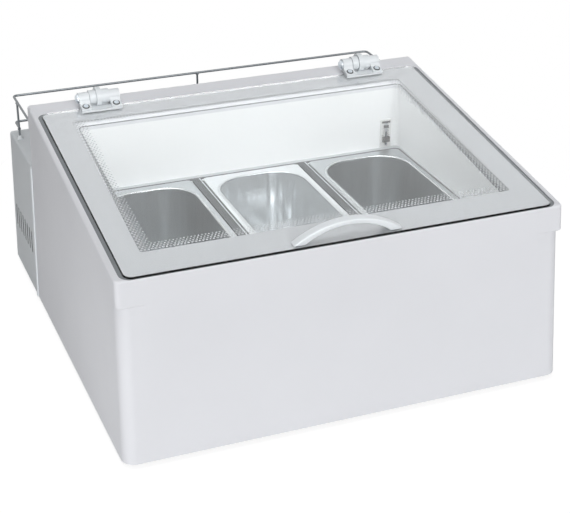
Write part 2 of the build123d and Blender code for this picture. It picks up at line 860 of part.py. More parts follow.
# Thermometer standing on the rear ledge: a plate with a groove and the tube in it
thermometer_front = liner_rear - thermometer_thickness
tube_y = thermometer_front + thermometer_tube_sink - thermometer_tube_radius
tube_low = ledge_z + (thermometer_height - thermometer_tube_length) / 2
with BuildPart() as thermometer_tube:
    with BuildSketch(Plane.XY.offset(tube_low)):
        with Locations((thermometer_x, tube_y)):
            Circle(thermometer_tube_radius)
    extrude(amount=thermometer_tube_length)
save(thermometer_tube, "thermometer_tube")
with BuildPart() as thermometer_plate:
    with BuildSketch(Plane.XY.offset(ledge_z)):
        with Locations((thermometer_x, liner_rear - thermometer_thickness / 2)):
            Rectangle(thermometer_width, thermometer_thickness)
    extrude(amount=thermometer_height)
    add(thermometer_tube.part, mode=Mode.SUBTRACT)
save(thermometer_plate, "thermometer_plate")

# Chassis tray behind the tub
tray_inset = sheet + plate_gap
tray_front = seam_y + plate_gap
tray_top = plate_top + tray_lip
panel_screw_high = housing_top - sheet - panel_lip / 2
panel_screw_low = plate_top + tray_lip / 2
panel_screw_spots = [
    (x, z) for x in (-panel_screw_x, 0, panel_screw_x) for z in (panel_screw_low, panel_screw_high)
]
tray_form = side_block(tray_inset, tray_front, panel_inner, plate_z, tray_top)
tray_hollow = side_block(
    tray_inset + plate_thickness,
    tray_front + plate_thickness,
    panel_inner - plate_thickness,
    plate_top,
    tray_top,
)
with BuildPart() as chassis_tray:
    add(tray_form)
    add(tray_hollow, mode=Mode.SUBTRACT)
    with BuildSketch(upright(panel_inner)):
        with Locations(*panel_screw_spots):
            Circle(screw_radius)
    extrude(amount=plate_thickness, mode=Mode.SUBTRACT)
save(chassis_tray, "chassis_tray")

# Rear housing: folded sheet with louvre slots and a lip that the rear panel is screwed to
lip_front = panel_inner - sheet
lip_low = tray_top + plate_gap
inner_radius = housing_edge_radius - sheet
lip_radius = housing_edge_radius - sheet / 2
housing_form = side_block(0, seam_y, rear_y, bottom_z, housing_top, housing_edge_radius)
hem_rear = seam_y + hem_depth
hem_form = side_block(-hem_reach, seam_y, hem_rear, bottom_z, housing_top, housing_edge_radius)
housing_hollow = side_block(sheet, seam_y, rear_y, bottom_z, housing_top - sheet, inner_radius)
lip_form = side_block(sheet / 2, lip_front, panel_inner, lip_low, housing_top - sheet / 2, lip_radius)
lip_hollow = side_block(sheet + panel_lip, lip_front, panel_inner, lip_low, housing_top - sheet - panel_lip)
with BuildPart() as rear_housing:
    add(housing_form)
    add(hem_form)
    add(housing_hollow, mode=Mode.SUBTRACT)
    with BuildSketch(Plane.YZ):
        with Locations((seam_y + hem_depth / 2, housing_top - hem_depth)):
            Circle(relief_radius)
    extrude(amount=case_width, both=True, mode=Mode.SUBTRACT)
    with BuildSketch(Plane.YZ):
        with Locations((rear_y - louvre_rear_set, bottom_z + louvre_height)):
            for slot in range(louvre_count):
                with Locations((-slot * louvre_pitch, 0)):
                    SlotOverall(louvre_length, louvre_width, rotation=90)
    extrude(amount=case_width, both=True, mode=Mode.SUBTRACT)
    add(lip_form)
    add(lip_hollow, mode=Mode.SUBTRACT)
    with BuildSketch(upright(panel_inner)):
        with Locations(*panel_screw_spots):
            Circle(screw_radius)
    extrude(amount=sheet, mode=Mode.SUBTRACT)
save(rear_housing, "rear_housing")

# Rear panel with vents and the openings of the controls
panel_inset = sheet + panel_gap
panel_high = housing_top - panel_inset
panel_form = side_block(panel_inset, panel_inner, panel_outer, plate_z, panel_high, inner_radius)
with BuildPart() as rear_panel:
    add(panel_form)
    with BuildSketch(upright(panel_outer)):
        with Locations((-vent_offset_x, bottom_z + vent_height), (vent_offset_x, bottom_z + vent_height)):
            with GridLocations(vent_pitch_x, vent_pitch_z, vent_columns, vent_rows):
                SlotOverall(vent_length, vent_width)
        with Locations((knob_x, control_z)):
            Circle(bush_radius)
        with Locations((switch_x, control_z)):
            Rectangle(switch_width, switch_length)
        with Locations((inlet_x, control_z)):
            Rectangle(inlet_width, inlet_height)
        with Locations(*panel_screw_spots):
            Circle(screw_radius)
    extrude(amount=sheet, mode=Mode.SUBTRACT)
save(rear_panel, "rear_panel")

panel_seats = [
    Plane(origin=(x, panel_outer, z), x_dir=(1, 0, 0), z_dir=(0, 1, 0)) for x, z in panel_screw_spots
]
panel_screws = [slotted_screw(seat, 2 * sheet) for seat in panel_seats]
with BuildPart() as rear_panel_screws:
    add(panel_screws)
save(rear_panel_screws, "rear_panel_screws")

# Thermostat: body behind the panel with a bush, sensor tube to the liner, and knob
with BuildPart() as thermostat_body:
    with BuildSketch(upright(panel_inner)):
        with Locations((knob_x, control_z)):
            Rectangle(thermostat_width, thermostat_height)
    extrude(amount=thermostat_depth)
    with BuildSketch(upright(panel_outer)):
        with Locations((knob_x, control_z)):
            Circle(bush_radius)
    extrude(amount=sheet)
    with BuildSketch(upright(panel_outer)):
        with Locations((knob_x, control_z)):
            Circle(shaft_radius + running_gap)
    extrude(amount=sheet + shaft_length + knob_gap, mode=Mode.SUBTRACT)
save(thermostat_body, "thermostat_body")
with BuildPart() as thermostat_sensor:
    sensor_start = panel_inner - thermostat_depth
    with BuildSketch(upright(sensor_start)):
        with Locations((sensor_x, sensor_z)):
            Circle(sensor_radius)
    extrude(amount=sensor_start - well_rear - liner_wall)
save(thermostat_sensor, "thermostat_sensor")
knob_face = panel_outer + knob_gap + knob_height
with BuildPart() as thermostat_knob:
    with BuildSketch(upright(knob_face)):
        with Locations((knob_x, control_z)):
            Circle(knob_radius)
            with PolarLocations(knob_radius, knob_flutes):
                Circle(knob_flute_radius, mode=Mode.SUBTRACT)
    extrude(amount=knob_height)
    chamfer(thermostat_knob.faces().sort_by(Axis.Y)[-1].edges(), knob_edge)
    with BuildSketch(upright(knob_face)):
        with Locations((knob_x, control_z + knob_radius / 2)):
            Rectangle(knob_mark, knob_radius / 2)
    extrude(amount=knob_mark, mode=Mode.SUBTRACT)
    with BuildSketch(upright(knob_face - knob_height)):
        with Locations((knob_x, control_z)):
            Circle(shaft_radius)
    extrude(amount=knob_gap + sheet + shaft_length)
save(thermostat_knob, "thermostat_knob")

# Mains switch: body with a bezel, and a rocker on two stubs, resting at one end of its travel
bezel_face = panel_outer + bezel_thickness
pivot_y = bezel_face - rocker_sink
stub_reach = rocker_width / 2 + rocker_gap + rocker_stub
rocker_rise = rocker_crown + rocker_length / 2 * tan(radians(rocker_tilt))
with BuildPart() as switch_body:
    with BuildSketch(upright(bezel_face)):
        with Locations((switch_x, control_z)):
            RectangleRounded(switch_width + 2 * switch_bezel, switch_length + 2 * switch_bezel, bezel_corner)
    extrude(amount=bezel_thickness)
    with BuildSketch(upright(panel_outer)):
        with Locations((switch_x, control_z)):
            Rectangle(switch_width, switch_length)
    extrude(amount=switch_depth)
    with BuildSketch(upright(bezel_face)):
        with Locations((switch_x, control_z)):
            Rectangle(rocker_width + 2 * rocker_gap, rocker_length + 2 * rocker_gap)
    extrude(amount=rocker_pocket, mode=Mode.SUBTRACT)
    with BuildSketch(Plane.YZ.offset(switch_x)):
        with Locations((pivot_y, control_z)):
            Circle(rocker_pin_radius + running_gap)
    extrude(amount=stub_reach + rocker_stub_gap, both=True, mode=Mode.SUBTRACT)
save(switch_body, "switch_body")
rocker_plane = Plane(
    origin=(switch_x, pivot_y, control_z),
    x_dir=(0, sin(radians(rocker_tilt)), cos(radians(rocker_tilt))),
    z_dir=(-1, 0, 0),
)
with BuildPart() as switch_rocker:
    with BuildSketch(rocker_plane):
        with BuildLine():
            Polyline(
                (-rocker_length / 2, -rocker_belly),
                (rocker_length / 2, -rocker_belly),
                (rocker_length / 2, rocker_rise),
                (0, rocker_crown),
                (-rocker_length / 2, rocker_rise),
                close=True,
            )
        make_face()
    extrude(amount=rocker_width / 2, both=True)
    with BuildSketch(rocker_plane):
        Circle(rocker_pin_radius)
    extrude(amount=stub_reach, both=True)
save(switch_rocker, "switch_rocker")

# Power inlet with a bare socket and three contact pins
with BuildPart() as power_inlet:
    with BuildSketch(upright(bezel_face)):
        with Locations((inlet_x, control_z)):
            RectangleRounded(inlet_width + 2 * inlet_bezel, inlet_height + 2 * inlet_bezel, bezel_corner)
    extrude(amount=bezel_thickness)
    with BuildSketch(upright(panel_outer)):
        with Locations((inlet_x, control_z)):
            Rectangle(inlet_width, inlet_height)
    extrude(amount=inlet_depth)
    with BuildSketch(upright(bezel_face)):
        with Locations((inlet_x, control_z)):
            Rectangle(socket_width, socket_height)
    extrude(amount=socket_depth, mode=Mode.SUBTRACT)
save(power_inlet, "power_inlet")
with BuildPart() as inlet_pins:
    with BuildSketch(upright(bezel_face - socket_depth)):
        with Locations(
            (inlet_x - inlet_pin_pitch, control_z),
            (inlet_x, control_z + earth_pin_rise),
            (inlet_x + inlet_pin_pitch, control_z),
        ):
            Rectangle(inlet_pin_width, inlet_pin_height)
    extrude(amount=-inlet_pin_length)
save(inlet_pins, "inlet_pins")

# Terminal box on the tray
terminal_y = seam_y + terminal_set
terminal_top = plate_top + terminal_height
with BuildPart() as terminal_box:
    with BuildSketch(Plane.XY.offset(plate_top)):
        with Locations((terminal_x, terminal_y)):
            Rectangle(terminal_length, terminal_width)
    extrude(amount=terminal_height)
    with BuildSketch(Plane.XY.offset(plate_top + terminal_wall)):
        with Locations((terminal_x, terminal_y)):
            Rectangle(terminal_length - 2 * terminal_wall, terminal_width - 2 * terminal_wall)
    extrude(amount=terminal_height, mode=Mode.SUBTRACT)
save(terminal_box, "terminal_box")
with BuildPart() as terminal_lid:
    with BuildSketch(Plane.XY.offset(terminal_top - terminal_lid_height)):
        with Locations((terminal_x, terminal_y)):
            Rectangle(terminal_length + 2 * terminal_wall, terminal_width + 2 * terminal_wall)
            Rectangle(terminal_length, terminal_width, mode=Mode.SUBTRACT)
    extrude(amount=terminal_lid_height)
    with BuildSketch(Plane.XY.offset(terminal_top)):
        with Locations((terminal_x, terminal_y)):
            Rectangle(terminal_length + 2 * terminal_wall, terminal_width + 2 * terminal_wall)
    extrude(amount=terminal_wall)
save(terminal_lid, "terminal_lid")

# Compressor on four grommets
compressor_y = seam_y + compressor_set
mount_z = plate_top + grommet_height
pot_z = mount_z + mount_thickness
pot_top = pot_z + compressor_height
suction_z = bottom_z + suction_stub_height
with BuildPart() as compressor_grommets:
    with BuildSketch(Plane.XY.offset(plate_top)):
        with Locations((compressor_x, compressor_y)):
            with GridLocations(grommet_pitch_x, grommet_pitch_y, 2, 2):
                Circle(grommet_radius)
                Circle(bolt_radius, mode=Mode.SUBTRACT)
    extrude(amount=grommet_height)
save(compressor_grommets, "compressor_grommets")
with BuildPart() as compressor_studs:
    with BuildSketch(Plane.XY.offset(plate_top)):
        with Locations((compressor_x, compressor_y)):
            with GridLocations(grommet_pitch_x, grommet_pitch_y, 2, 2):
                Circle(bolt_radius)
    extrude(amount=grommet_height + mount_thickness)
    with BuildSketch(Plane.XY.offset(pot_z)):
        with Locations((compressor_x, compressor_y)):
            with GridLocations(grommet_pitch_x, grommet_pitch_y, 2, 2):
                RegularPolygon(nut_radius, 6)
    extrude(amount=nut_height)
save(compressor_studs, "compressor_studs")
with BuildPart() as pot:
    with BuildSketch(Plane.XY.offset(pot_z)):
        with Locations((compressor_x, compressor_y)):
            Circle(compressor_radius)
    extrude(amount=compressor_height)
    fillet(pot.edges().group_by(Axis.Z)[-1], compressor_dome)
    fillet(pot.edges().group_by(Axis.Z)[0], compressor_foot_round)
    with BuildSketch(Plane.XY.offset(pot_z + compressor_seam_level)):
        with Locations((compressor_x, compressor_y)):
            Circle(compressor_seam_radius)
    extrude(amount=compressor_seam_height)
with BuildPart() as compressor:
    add(pot.part)
    with BuildSketch(Plane.XY.offset(mount_z)):
        with Locations((compressor_x, compressor_y)):
            RectangleRounded(mount_length, mount_width, mount_corner)
            with GridLocations(grommet_pitch_x, grommet_pitch_y, 2, 2):
                Circle(bolt_radius, mode=Mode.SUBTRACT)
    extrude(amount=mount_thickness)
    with BuildSketch(Plane.XY.offset(pot_top - stub_length)):
        with Locations((compressor_x, compressor_y)):
            Circle(stub_radius)
    extrude(amount=2 * stub_length)
    with BuildSketch(Plane.YZ.offset(compressor_x)):
        with Locations((compressor_y, suction_z)):
            Circle(stub_radius)
    extrude(amount=compressor_radius + stub_length)
save(compressor, "compressor")
relay_x = compressor_x - compressor_radius - relay_length / 2 + relay_sink
with BuildPart() as relay_cover:
    with BuildSketch(Plane.XY.offset(pot_z + relay_level)):
        with Locations((relay_x, compressor_y)):
            RectangleRounded(relay_length, relay_width, relay_edge)
    extrude(amount=relay_height)
    add(pot.part, mode=Mode.SUBTRACT)
save(relay_cover, "relay_cover")

# Condenser: a finned core with tube stubs, and the return bends at its ends
core_x = condenser_x + condenser_thickness / 2
core_top = plate_top + condenser_height
core_front = condenser_y - condenser_width / 2
core_rear = condenser_y + condenser_width / 2
inlet_y = seam_y + condenser_inlet_set
outlet_y = seam_y + condenser_outlet_set
fin_pitch = condenser_width / fin_count
with BuildPart() as condenser_core:
    with BuildSketch(Plane.XY.offset(plate_top)):
        with Locations((core_x, condenser_y)):
            Rectangle(condenser_thickness, condenser_width)
    extrude(amount=condenser_height)
    with BuildSketch(Plane.XY.offset(plate_top + fin_end)):
        for face_x in (condenser_x, condenser_x + condenser_thickness):
            with Locations((face_x, condenser_y)):
                with GridLocations(0, fin_pitch, 1, fin_count):
                    Rectangle(2 * fin_depth, fin_slot)
    extrude(amount=condenser_height - 2 * fin_end, mode=Mode.SUBTRACT)
    with BuildSketch(Plane.XY.offset(core_top)):
        with Locations((core_x, inlet_y), (core_x, outlet_y)):
            Circle(stub_radius)
    extrude(amount=stub_length)
save(condenser_core, "condenser_core")
bend_tubes_out = []
for row in range(bend_tubes - 1):
    low = plate_top + bend_level + row * bend_pitch
    end_y, way = (core_rear, 1) if row % 2 == 0 else (core_front, -1)
    reach_y = end_y + way * bend_pitch / 2
    bend_points = [
        (core_x, end_y, low),
        (core_x, reach_y, low),
        (core_x, reach_y, low + bend_pitch),
        (core_x, end_y, low + bend_pitch),
    ]
    bend_tubes_out.append(tube_along(bend_points, bend_pitch / 2 - bend_room, tube_radius))
with BuildPart() as condenser_bends:
    add(bend_tubes_out)
save(condenser_bends, "condenser_bends")

# Fan: shroud on the condenser, motor held by a bracket, and the blade on the motor's bore
fan_z = plate_top + condenser_height / 2
shroud_x = condenser_x - shroud_depth
hub_x = shroud_x + fan_set
motor_front = hub_x - fan_hub_length / 2 - fan_motor_gap
motor_rear = motor_front - fan_motor_length
leg_rise = (fan_ring_radius + condenser_height / 2) / 2
blade_radius = fan_ring_radius - fan_gap
with BuildPart() as fan_shroud:
    with BuildSketch(Plane.YZ.offset(shroud_x)):
        with Locations((condenser_y, fan_z)):
            Rectangle(condenser_width, condenser_height)
    extrude(amount=shroud_depth)
    with BuildSketch(Plane.YZ.offset(shroud_x + shroud_wall)):
        with Locations((condenser_y, fan_z)):
            Rectangle(condenser_width - 2 * shroud_wall, condenser_height - 2 * shroud_wall)
    extrude(amount=shroud_depth, mode=Mode.SUBTRACT)
    with BuildSketch(Plane.YZ.offset(shroud_x - fan_collar)):
        with Locations((condenser_y, fan_z)):
            Circle(fan_ring_radius + shroud_wall)
    extrude(amount=fan_collar)
    with BuildSketch(Plane.YZ.offset(shroud_x - fan_collar)):
        with Locations((condenser_y, fan_z)):
            Circle(fan_ring_radius)
    extrude(amount=fan_collar + shroud_wall, mode=Mode.SUBTRACT)
save(fan_shroud, "fan_shroud")
with BuildPart() as fan_motor:
    with BuildSketch(Plane.YZ.offset(motor_rear)):
        with Locations((condenser_y, fan_z)):
            Circle(fan_motor_radius)
    extrude(amount=fan_motor_length)
    fillet(fan_motor.edges().group_by(Axis.X)[-1], fan_motor_edge)
    with BuildSketch(Plane.YZ.offset(motor_front)):
        with Locations((condenser_y, fan_z)):
            Circle(fan_shaft_radius + running_gap)
    extrude(amount=-fan_shaft_reach - fan_bore_gap, mode=Mode.SUBTRACT)
save(fan_motor, "fan_motor")
with BuildPart() as fan_bracket:
    with BuildSketch(Plane.YZ.offset(motor_rear)):
        with Locations((condenser_y, fan_z)):
            SlotCenterToCenter(2 * leg_rise, fan_bracket_width, rotation=90)
    extrude(amount=-fan_bracket_thickness)
    with BuildSketch(Plane.YZ.offset(motor_rear)):
        with Locations((condenser_y, fan_z - leg_rise), (condenser_y, fan_z + leg_rise)):
            Circle(fan_leg_radius)
    extrude(amount=shroud_x - motor_rear)
save(fan_bracket, "fan_bracket")
with BuildPart() as blades:
    for blade in range(fan_blades):
        turn = radians(360 * blade / fan_blades)
        pitch = radians(fan_blade_pitch)
        blade_plane = Plane(
            origin=(hub_x, condenser_y, fan_z),
            x_dir=(0, cos(turn), sin(turn)),
            z_dir=(cos(pitch), -sin(turn) * sin(pitch), cos(turn) * sin(pitch)),
        )
        with BuildSketch(blade_plane):
            with BuildLine():
                Polyline(
                    (0, -fan_blade_root / 2),
                    (fan_ring_radius, -fan_blade_chord / 2),
                    (fan_ring_radius, fan_blade_chord / 2),
                    (0, fan_blade_root / 2),
                    close=True,
                )
            make_face()
        extrude(amount=fan_blade_thickness / 2, both=True)
    with BuildSketch(Plane.YZ.offset(hub_x)):
        with Locations((condenser_y, fan_z)):
            Circle(blade_radius)
    extrude(amount=shroud_depth, both=True, mode=Mode.INTERSECT)
with BuildPart() as fan_blade:
    with BuildSketch(Plane.YZ.offset(hub_x)):
        with Locations((condenser_y, fan_z)):
            Circle(fan_hub_radius)
    extrude(amount=fan_hub_length / 2, both=True)
    add(blades.part)
    with BuildSketch(Plane.YZ.offset(hub_x)):
        with Locations((condenser_y, fan_z)):
            Circle(fan_shaft_radius)
    extrude(amount=motor_front - fan_shaft_reach - hub_x)
save(fan_blade, "fan_blade")

# Filter drier
drier_y = seam_y + drier_set
drier_low = bottom_z + drier_low_height
drier_high = bottom_z + drier_high_height
with BuildPart() as filter_drier:
    with BuildSketch(upright(drier_y)):
        with BuildLine():
            Polyline(
                (drier_x, drier_low),
                (drier_x + stub_radius, drier_low),
                (drier_x + drier_radius, drier_low + drier_cone),
                (drier_x + drier_radius, drier_high - drier_cone),
                (drier_x + stub_radius, drier_high),
                (drier_x, drier_high),
                close=True,
            )
        make_face()
    revolve(axis=Axis((drier_x, drier_y, 0), (0, 0, 1)))
save(filter_drier, "filter_drier")

# Pipes of the circuit: compressor, condenser, drier, capillary, evaporator, and back
pipe_top = bottom_z + pipe_top_height
liquid_top = bottom_z + liquid_top_height
capillary_low = bottom_z + capillary_low_height
stub_end = compressor_x + compressor_radius + stub_length
discharge_route = [
    (compressor_x, compressor_y, pot_top + stub_length),
    (compressor_x, compressor_y, pipe_top),
    (core_x, compressor_y, pipe_top),
    (core_x, inlet_y, core_top + stub_length),
]
liquid_route = [
    (core_x, outlet_y, core_top + stub_length),
    (core_x, drier_y, liquid_top),
    (drier_x, drier_y, liquid_top),
    (drier_x, drier_y, drier_high),
]
capillary_route = [
    (drier_x, drier_y, drier_low),
    (drier_x, drier_y, capillary_low),
    (liquid_tail_x, drier_y, capillary_low),
    (liquid_tail_x, drier_y, coil_levels[0]),
    (liquid_tail_x, tail_end, coil_levels[0]),
]
suction_route = [
    (suction_tail_x, tail_end, coil_levels[-1]),
    (suction_tail_x, compressor_y, coil_levels[-1]),
    (suction_tail_x, compressor_y, suction_z),
    (stub_end, compressor_y, suction_z),
]
for route_points, bend, radius, pipe_name in (
    (discharge_route, pipe_bend, pipe_radius, "discharge_pipe"),
    (liquid_route, pipe_bend, pipe_radius, "liquid_pipe"),
    (capillary_route, capillary_bend, capillary_radius, "capillary_tube"),
    (suction_route, pipe_bend, pipe_radius, "suction_pipe"),
):
    pipe_solid = tube_along(route_points, bend, radius)
    with BuildPart() as pipe:
        add(pipe_solid)
    save(pipe, pipe_name)

# Guard rail of bent wire over the housing
rail_x = case_width / 2 - housing_height * tan(radians(side_draft)) - rail_inset_side
rail_y = rear_y - rail_inset_rear
post_y = rail_y - rail_post_set
rail_z = housing_top + rail_height
low_z = housing_top + rail_low_height
top_points = [
    (-rail_x, seam_y, rail_z),
    (-rail_x, rail_y, rail_z),
    (rail_x, rail_y, rail_z),
    (rail_x, seam_y, rail_z),
]
low_y = post_y - 2 * wire_radius
low_points = [
    (-rail_x, low_y, low_z),
    (-rail_x, rail_y, low_z),
    (rail_x, rail_y, low_z),
    (rail_x, low_y, low_z),
]
top_wire = tube_along(top_points, rail_bend, wire_radius)
low_wire = tube_along(low_points, rail_bend, wire_radius)
with BuildPart() as guard_rail:
    add(top_wire)
    add(low_wire)
    with BuildSketch(Plane.XY.offset(housing_top)):
        with Locations((-rail_x, post_y), (0, rail_y), (rail_x, post_y)):
            Circle(rail_post_radius)
    extrude(amount=rail_height)
save(guard_rail, "guard_rail")
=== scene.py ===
# %% [markdown]
# # A counter-top ice cream display case
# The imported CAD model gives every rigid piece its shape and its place. This script adds what
# the eye sees: a finish for each material, the printed border of the glass, small trim, and a
# plain studio with the camera where the photographer stood.

from math import cos, radians, sin, tan

import bmesh
import bpy
import numpy as np
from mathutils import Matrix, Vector


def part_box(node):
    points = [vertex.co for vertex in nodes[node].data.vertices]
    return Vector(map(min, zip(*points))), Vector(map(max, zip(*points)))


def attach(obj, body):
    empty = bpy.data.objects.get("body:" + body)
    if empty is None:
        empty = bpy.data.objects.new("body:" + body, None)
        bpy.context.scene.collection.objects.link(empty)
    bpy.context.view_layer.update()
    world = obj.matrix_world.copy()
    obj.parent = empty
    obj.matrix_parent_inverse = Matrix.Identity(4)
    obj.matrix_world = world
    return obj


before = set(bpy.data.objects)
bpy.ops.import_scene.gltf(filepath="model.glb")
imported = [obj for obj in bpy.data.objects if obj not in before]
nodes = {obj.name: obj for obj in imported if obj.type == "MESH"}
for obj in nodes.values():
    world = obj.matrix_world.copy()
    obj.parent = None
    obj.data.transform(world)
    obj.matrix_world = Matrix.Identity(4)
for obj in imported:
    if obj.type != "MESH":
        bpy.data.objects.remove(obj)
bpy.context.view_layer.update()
scene = bpy.context.scene

# %% [markdown]
# ## Camera
# A product photographer stands well back with a longer lens, so that upright edges stay nearly
# parallel. A camera can be aimed by eye, but here its place and its focal length follow from the
# edges of the case in the photograph.

# %% Camera
LENS_MM, SENSOR_MM = 89.53, 36.0
CAMERA_PLACE = Vector((-0.7277, -1.9396, 1.1420))
CAMERA_AIM = Vector((-0.0013, -0.0861, 0.1458))
lens_data = bpy.data.cameras.new("camera")
lens_data.sensor_width = SENSOR_MM
lens_data.lens = LENS_MM
camera = bpy.data.objects.new("camera", lens_data)
camera.location = CAMERA_PLACE
camera.rotation_euler = (CAMERA_AIM - CAMERA_PLACE).to_track_quat("-Z", "Y").to_euler()
scene.collection.objects.link(camera)
scene.camera = camera
scene.view_settings.view_transform = "Standard"
print("camera at", tuple(round(value, 3) for value in camera.location))

# %% [markdown]
# ## Helpers for shader trees
# A finish is a tree of nodes with links between their sockets. Written out, it takes a line for
# each node, each number and each link. These helpers take them together: a socket is linked, and
# a number or a colour is set, so that a tree reads in the order in which it is worked out.

# %% Nodes, sums and mixes
# A Mix node lists the sockets of every kind of data, so those for colours are picked by number.
MIX_SHARE, MIX_FIRST, MIX_SECOND, MIX_RESULT = 0, 6, 7, 2


def set_input(tree, entry, value):
    """Link a socket to an input, or set the input's own value."""
    if isinstance(value, bpy.types.NodeSocket):
        tree.links.new(value, entry)
    else:
        entry.default_value = value


def add_node(tree, kind, *terms, **values):
    """Add a node: terms go to its inputs in order, and each named value to what has that name."""
    node = tree.nodes.new(kind)
    for key, value in values.items():
        if hasattr(node, key):
            setattr(node, key, value)
        else:
            set_input(tree, node.inputs[key.replace("_", " ")], value)
    for entry, term in zip(node.inputs, terms):
        set_input(tree, entry, term)
    return node


def reckon(tree, operation, *terms):
    """Result of a Math node over sockets or numbers."""
    return add_node(tree, "ShaderNodeMath", *terms, operation=operation).outputs[0]


def ranged(tree, value, start, end, low=0.0, high=1.0, **settings):
    """Value carried over from one range to another: start becomes low, and end becomes high."""
    limits = dict(From_Min=start, From_Max=end, To_Min=low, To_Max=high)
    return add_node(tree, "ShaderNodeMapRange", Value=value, **limits, **settings).outputs["Result"]


def mixed_shader(tree, share, first, second):
    """Two shaders mixed: the first where share is 0, the second where it is 1."""
    return add_node(tree, "ShaderNodeMixShader", share, first, second).outputs[0]


def mixed_colour(tree, share, first, second):
    """Two colours mixed: the first where share is 0, the second where it is 1."""
    mix = add_node(tree, "ShaderNodeMix", data_type="RGBA")
    for place, value in ((MIX_SHARE, share), (MIX_FIRST, first), (MIX_SECOND, second)):
        set_input(tree, mix.inputs[place], value)
    return mix.outputs[MIX_RESULT]


def empty_tree(owner):
    """Node tree of a new material or world, with nothing in it yet."""
    owner.use_nodes = True
    owner.node_tree.nodes.clear()
    return owner.node_tree


# %% [markdown]
# ## Studio
# The case stands on white paper in soft light. A wide, low sun from the front stands for a
# large softbox beside the camera, a second one from above lights the lid and the tub, a weak
# third one fills the back, and a small card near the left side brightens the front end of that
# side. The sky could simply be white, but so much light would wash out a white case. So it is a
# dim grey for diffuse light, brighter for light that comes through glass, and plain white where
# the camera, metal or glass looks at it. The paper, too, is grey for diffuse light and white
# where it is seen, with a light shadow round the case.

# %% Sky
# Colour and strength of the dim sky, the sky that lights the tub, and the white one that is seen.
SKY_LIGHTS = (
    ((0.96, 0.98, 1.0, 1.0), 0.085),
    ((0.98, 0.99, 1.0, 1.0), 1.0),
    ((1.0, 1.0, 1.0, 1.0), 1.0),
)


def background_rays(tree):
    """Two sockets of 0 or 1: whether a ray shows the background, and whether it comes through glass.

    The camera, gloss and glass show it: the largest of the three flags, as long as the ray has
    left no matt surface, which is a diffuse depth of under a half.
    """
    path = add_node(tree, "ShaderNodeLightPath").outputs
    gloss = reckon(tree, "MAXIMUM", path["Is Glossy Ray"], path["Is Transmission Ray"])
    shown = reckon(tree, "MAXIMUM", path["Is Camera Ray"], gloss)
    direct = reckon(tree, "LESS_THAN", path["Diffuse Depth"], 0.5)
    return reckon(tree, "MULTIPLY", shown, direct), path["Is Transmission Ray"]


sky = bpy.data.worlds.new("studio_sky")
sky_tree = empty_tree(sky)
dim_sky, tub_sky, white_sky = [
    add_node(sky_tree, "ShaderNodeBackground", Color=colour, Strength=strength).outputs[0]
    for colour, strength in SKY_LIGHTS
]
seen_rays, glass_rays = background_rays(sky_tree)
sky_fill = mixed_shader(sky_tree, glass_rays, dim_sky, tub_sky)
sky_mix = mixed_shader(sky_tree, seen_rays, sky_fill, white_sky)
add_node(sky_tree, "ShaderNodeOutputWorld", Surface=sky_mix)
scene.world = sky
print("sky:", len(sky_tree.nodes), "nodes")

# %% Floor
FLOOR_HALF, SHADOW_REACH, WHITE_REACH = 12.0, 0.50, 0.85
PAPER_COLOUR, SHADOW_COLOUR = (0.50, 0.50, 0.50, 1.0), (0.24, 0.24, 0.24, 1.0)
NEAR_GLOW, FAR_GLOW = 0.86, 1.0
floor_finish = bpy.data.materials.new("studio_floor")
floor_tree = empty_tree(floor_finish)
floor_place = add_node(floor_tree, "ShaderNodeTexCoord").outputs["Object"]
floor_reach = add_node(floor_tree, "ShaderNodeVectorMath", floor_place, operation="LENGTH").outputs["Value"]
floor_fade = ranged(floor_tree, floor_reach, SHADOW_REACH, WHITE_REACH, interpolation_type="SMOOTHSTEP")
floor_paper = add_node(floor_tree, "ShaderNodeBsdfDiffuse", Color=PAPER_COLOUR).outputs[0]
floor_shadow = add_node(floor_tree, "ShaderNodeBsdfDiffuse", Color=SHADOW_COLOUR).outputs[0]
floor_glow = add_node(floor_tree, "ShaderNodeEmission", Strength=NEAR_GLOW).outputs[0]
floor_white = add_node(floor_tree, "ShaderNodeEmission", Strength=FAR_GLOW).outputs[0]
floor_near = add_node(floor_tree, "ShaderNodeAddShader", floor_shadow, floor_glow).outputs[0]
floor_seen = mixed_shader(floor_tree, floor_fade, floor_near, floor_white)
floor_mix = mixed_shader(floor_tree, background_rays(floor_tree)[0], floor_paper, floor_seen)
add_node(floor_tree, "ShaderNodeOutputMaterial", Surface=floor_mix)

floor_mesh = bpy.data.meshes.new("floor")
floor_corners = FLOOR_HALF * np.array([[-1, -1, 0], [1, -1, 0], [1, 1, 0], [-1, 1, 0]])
floor_mesh.from_pydata(floor_corners.tolist(), [], [(0, 1, 2, 3)])
floor_mesh.materials.append(floor_finish)
floor = bpy.data.objects.new("floor", floor_mesh)
scene.collection.objects.link(floor)
print("floor:", 2 * FLOOR_HALF, "m square")


# %% Lamps
def add_sun(name, toward, strength, width, mirrored=True):
    """Sun lamp from a direction, with its apparent width in degrees; mirrored if gloss shows it."""
    lamp = bpy.data.lights.new(name, "SUN")
    lamp.energy = strength
    lamp.angle = radians(width)
    holder = bpy.data.objects.new(name, lamp)
    holder.rotation_euler = Vector(toward).to_track_quat("Z", "Y").to_euler()
    holder.visible_glossy = mirrored
    holder.visible_transmission = mirrored
    scene.collection.objects.link(holder)


def add_card(name, place, target, power, width):
    """Small square lamp close to the case, so that its light falls off along a side."""
    lamp = bpy.data.lights.new(name, "AREA")
    lamp.energy = power
    lamp.size = width
    holder = bpy.data.objects.new(name, lamp)
    holder.location = place
    holder.rotation_euler = (Vector(place) - Vector(target)).to_track_quat("Z", "Y").to_euler()
    holder.visible_camera = False
    holder.visible_glossy = False
    scene.collection.objects.link(holder)


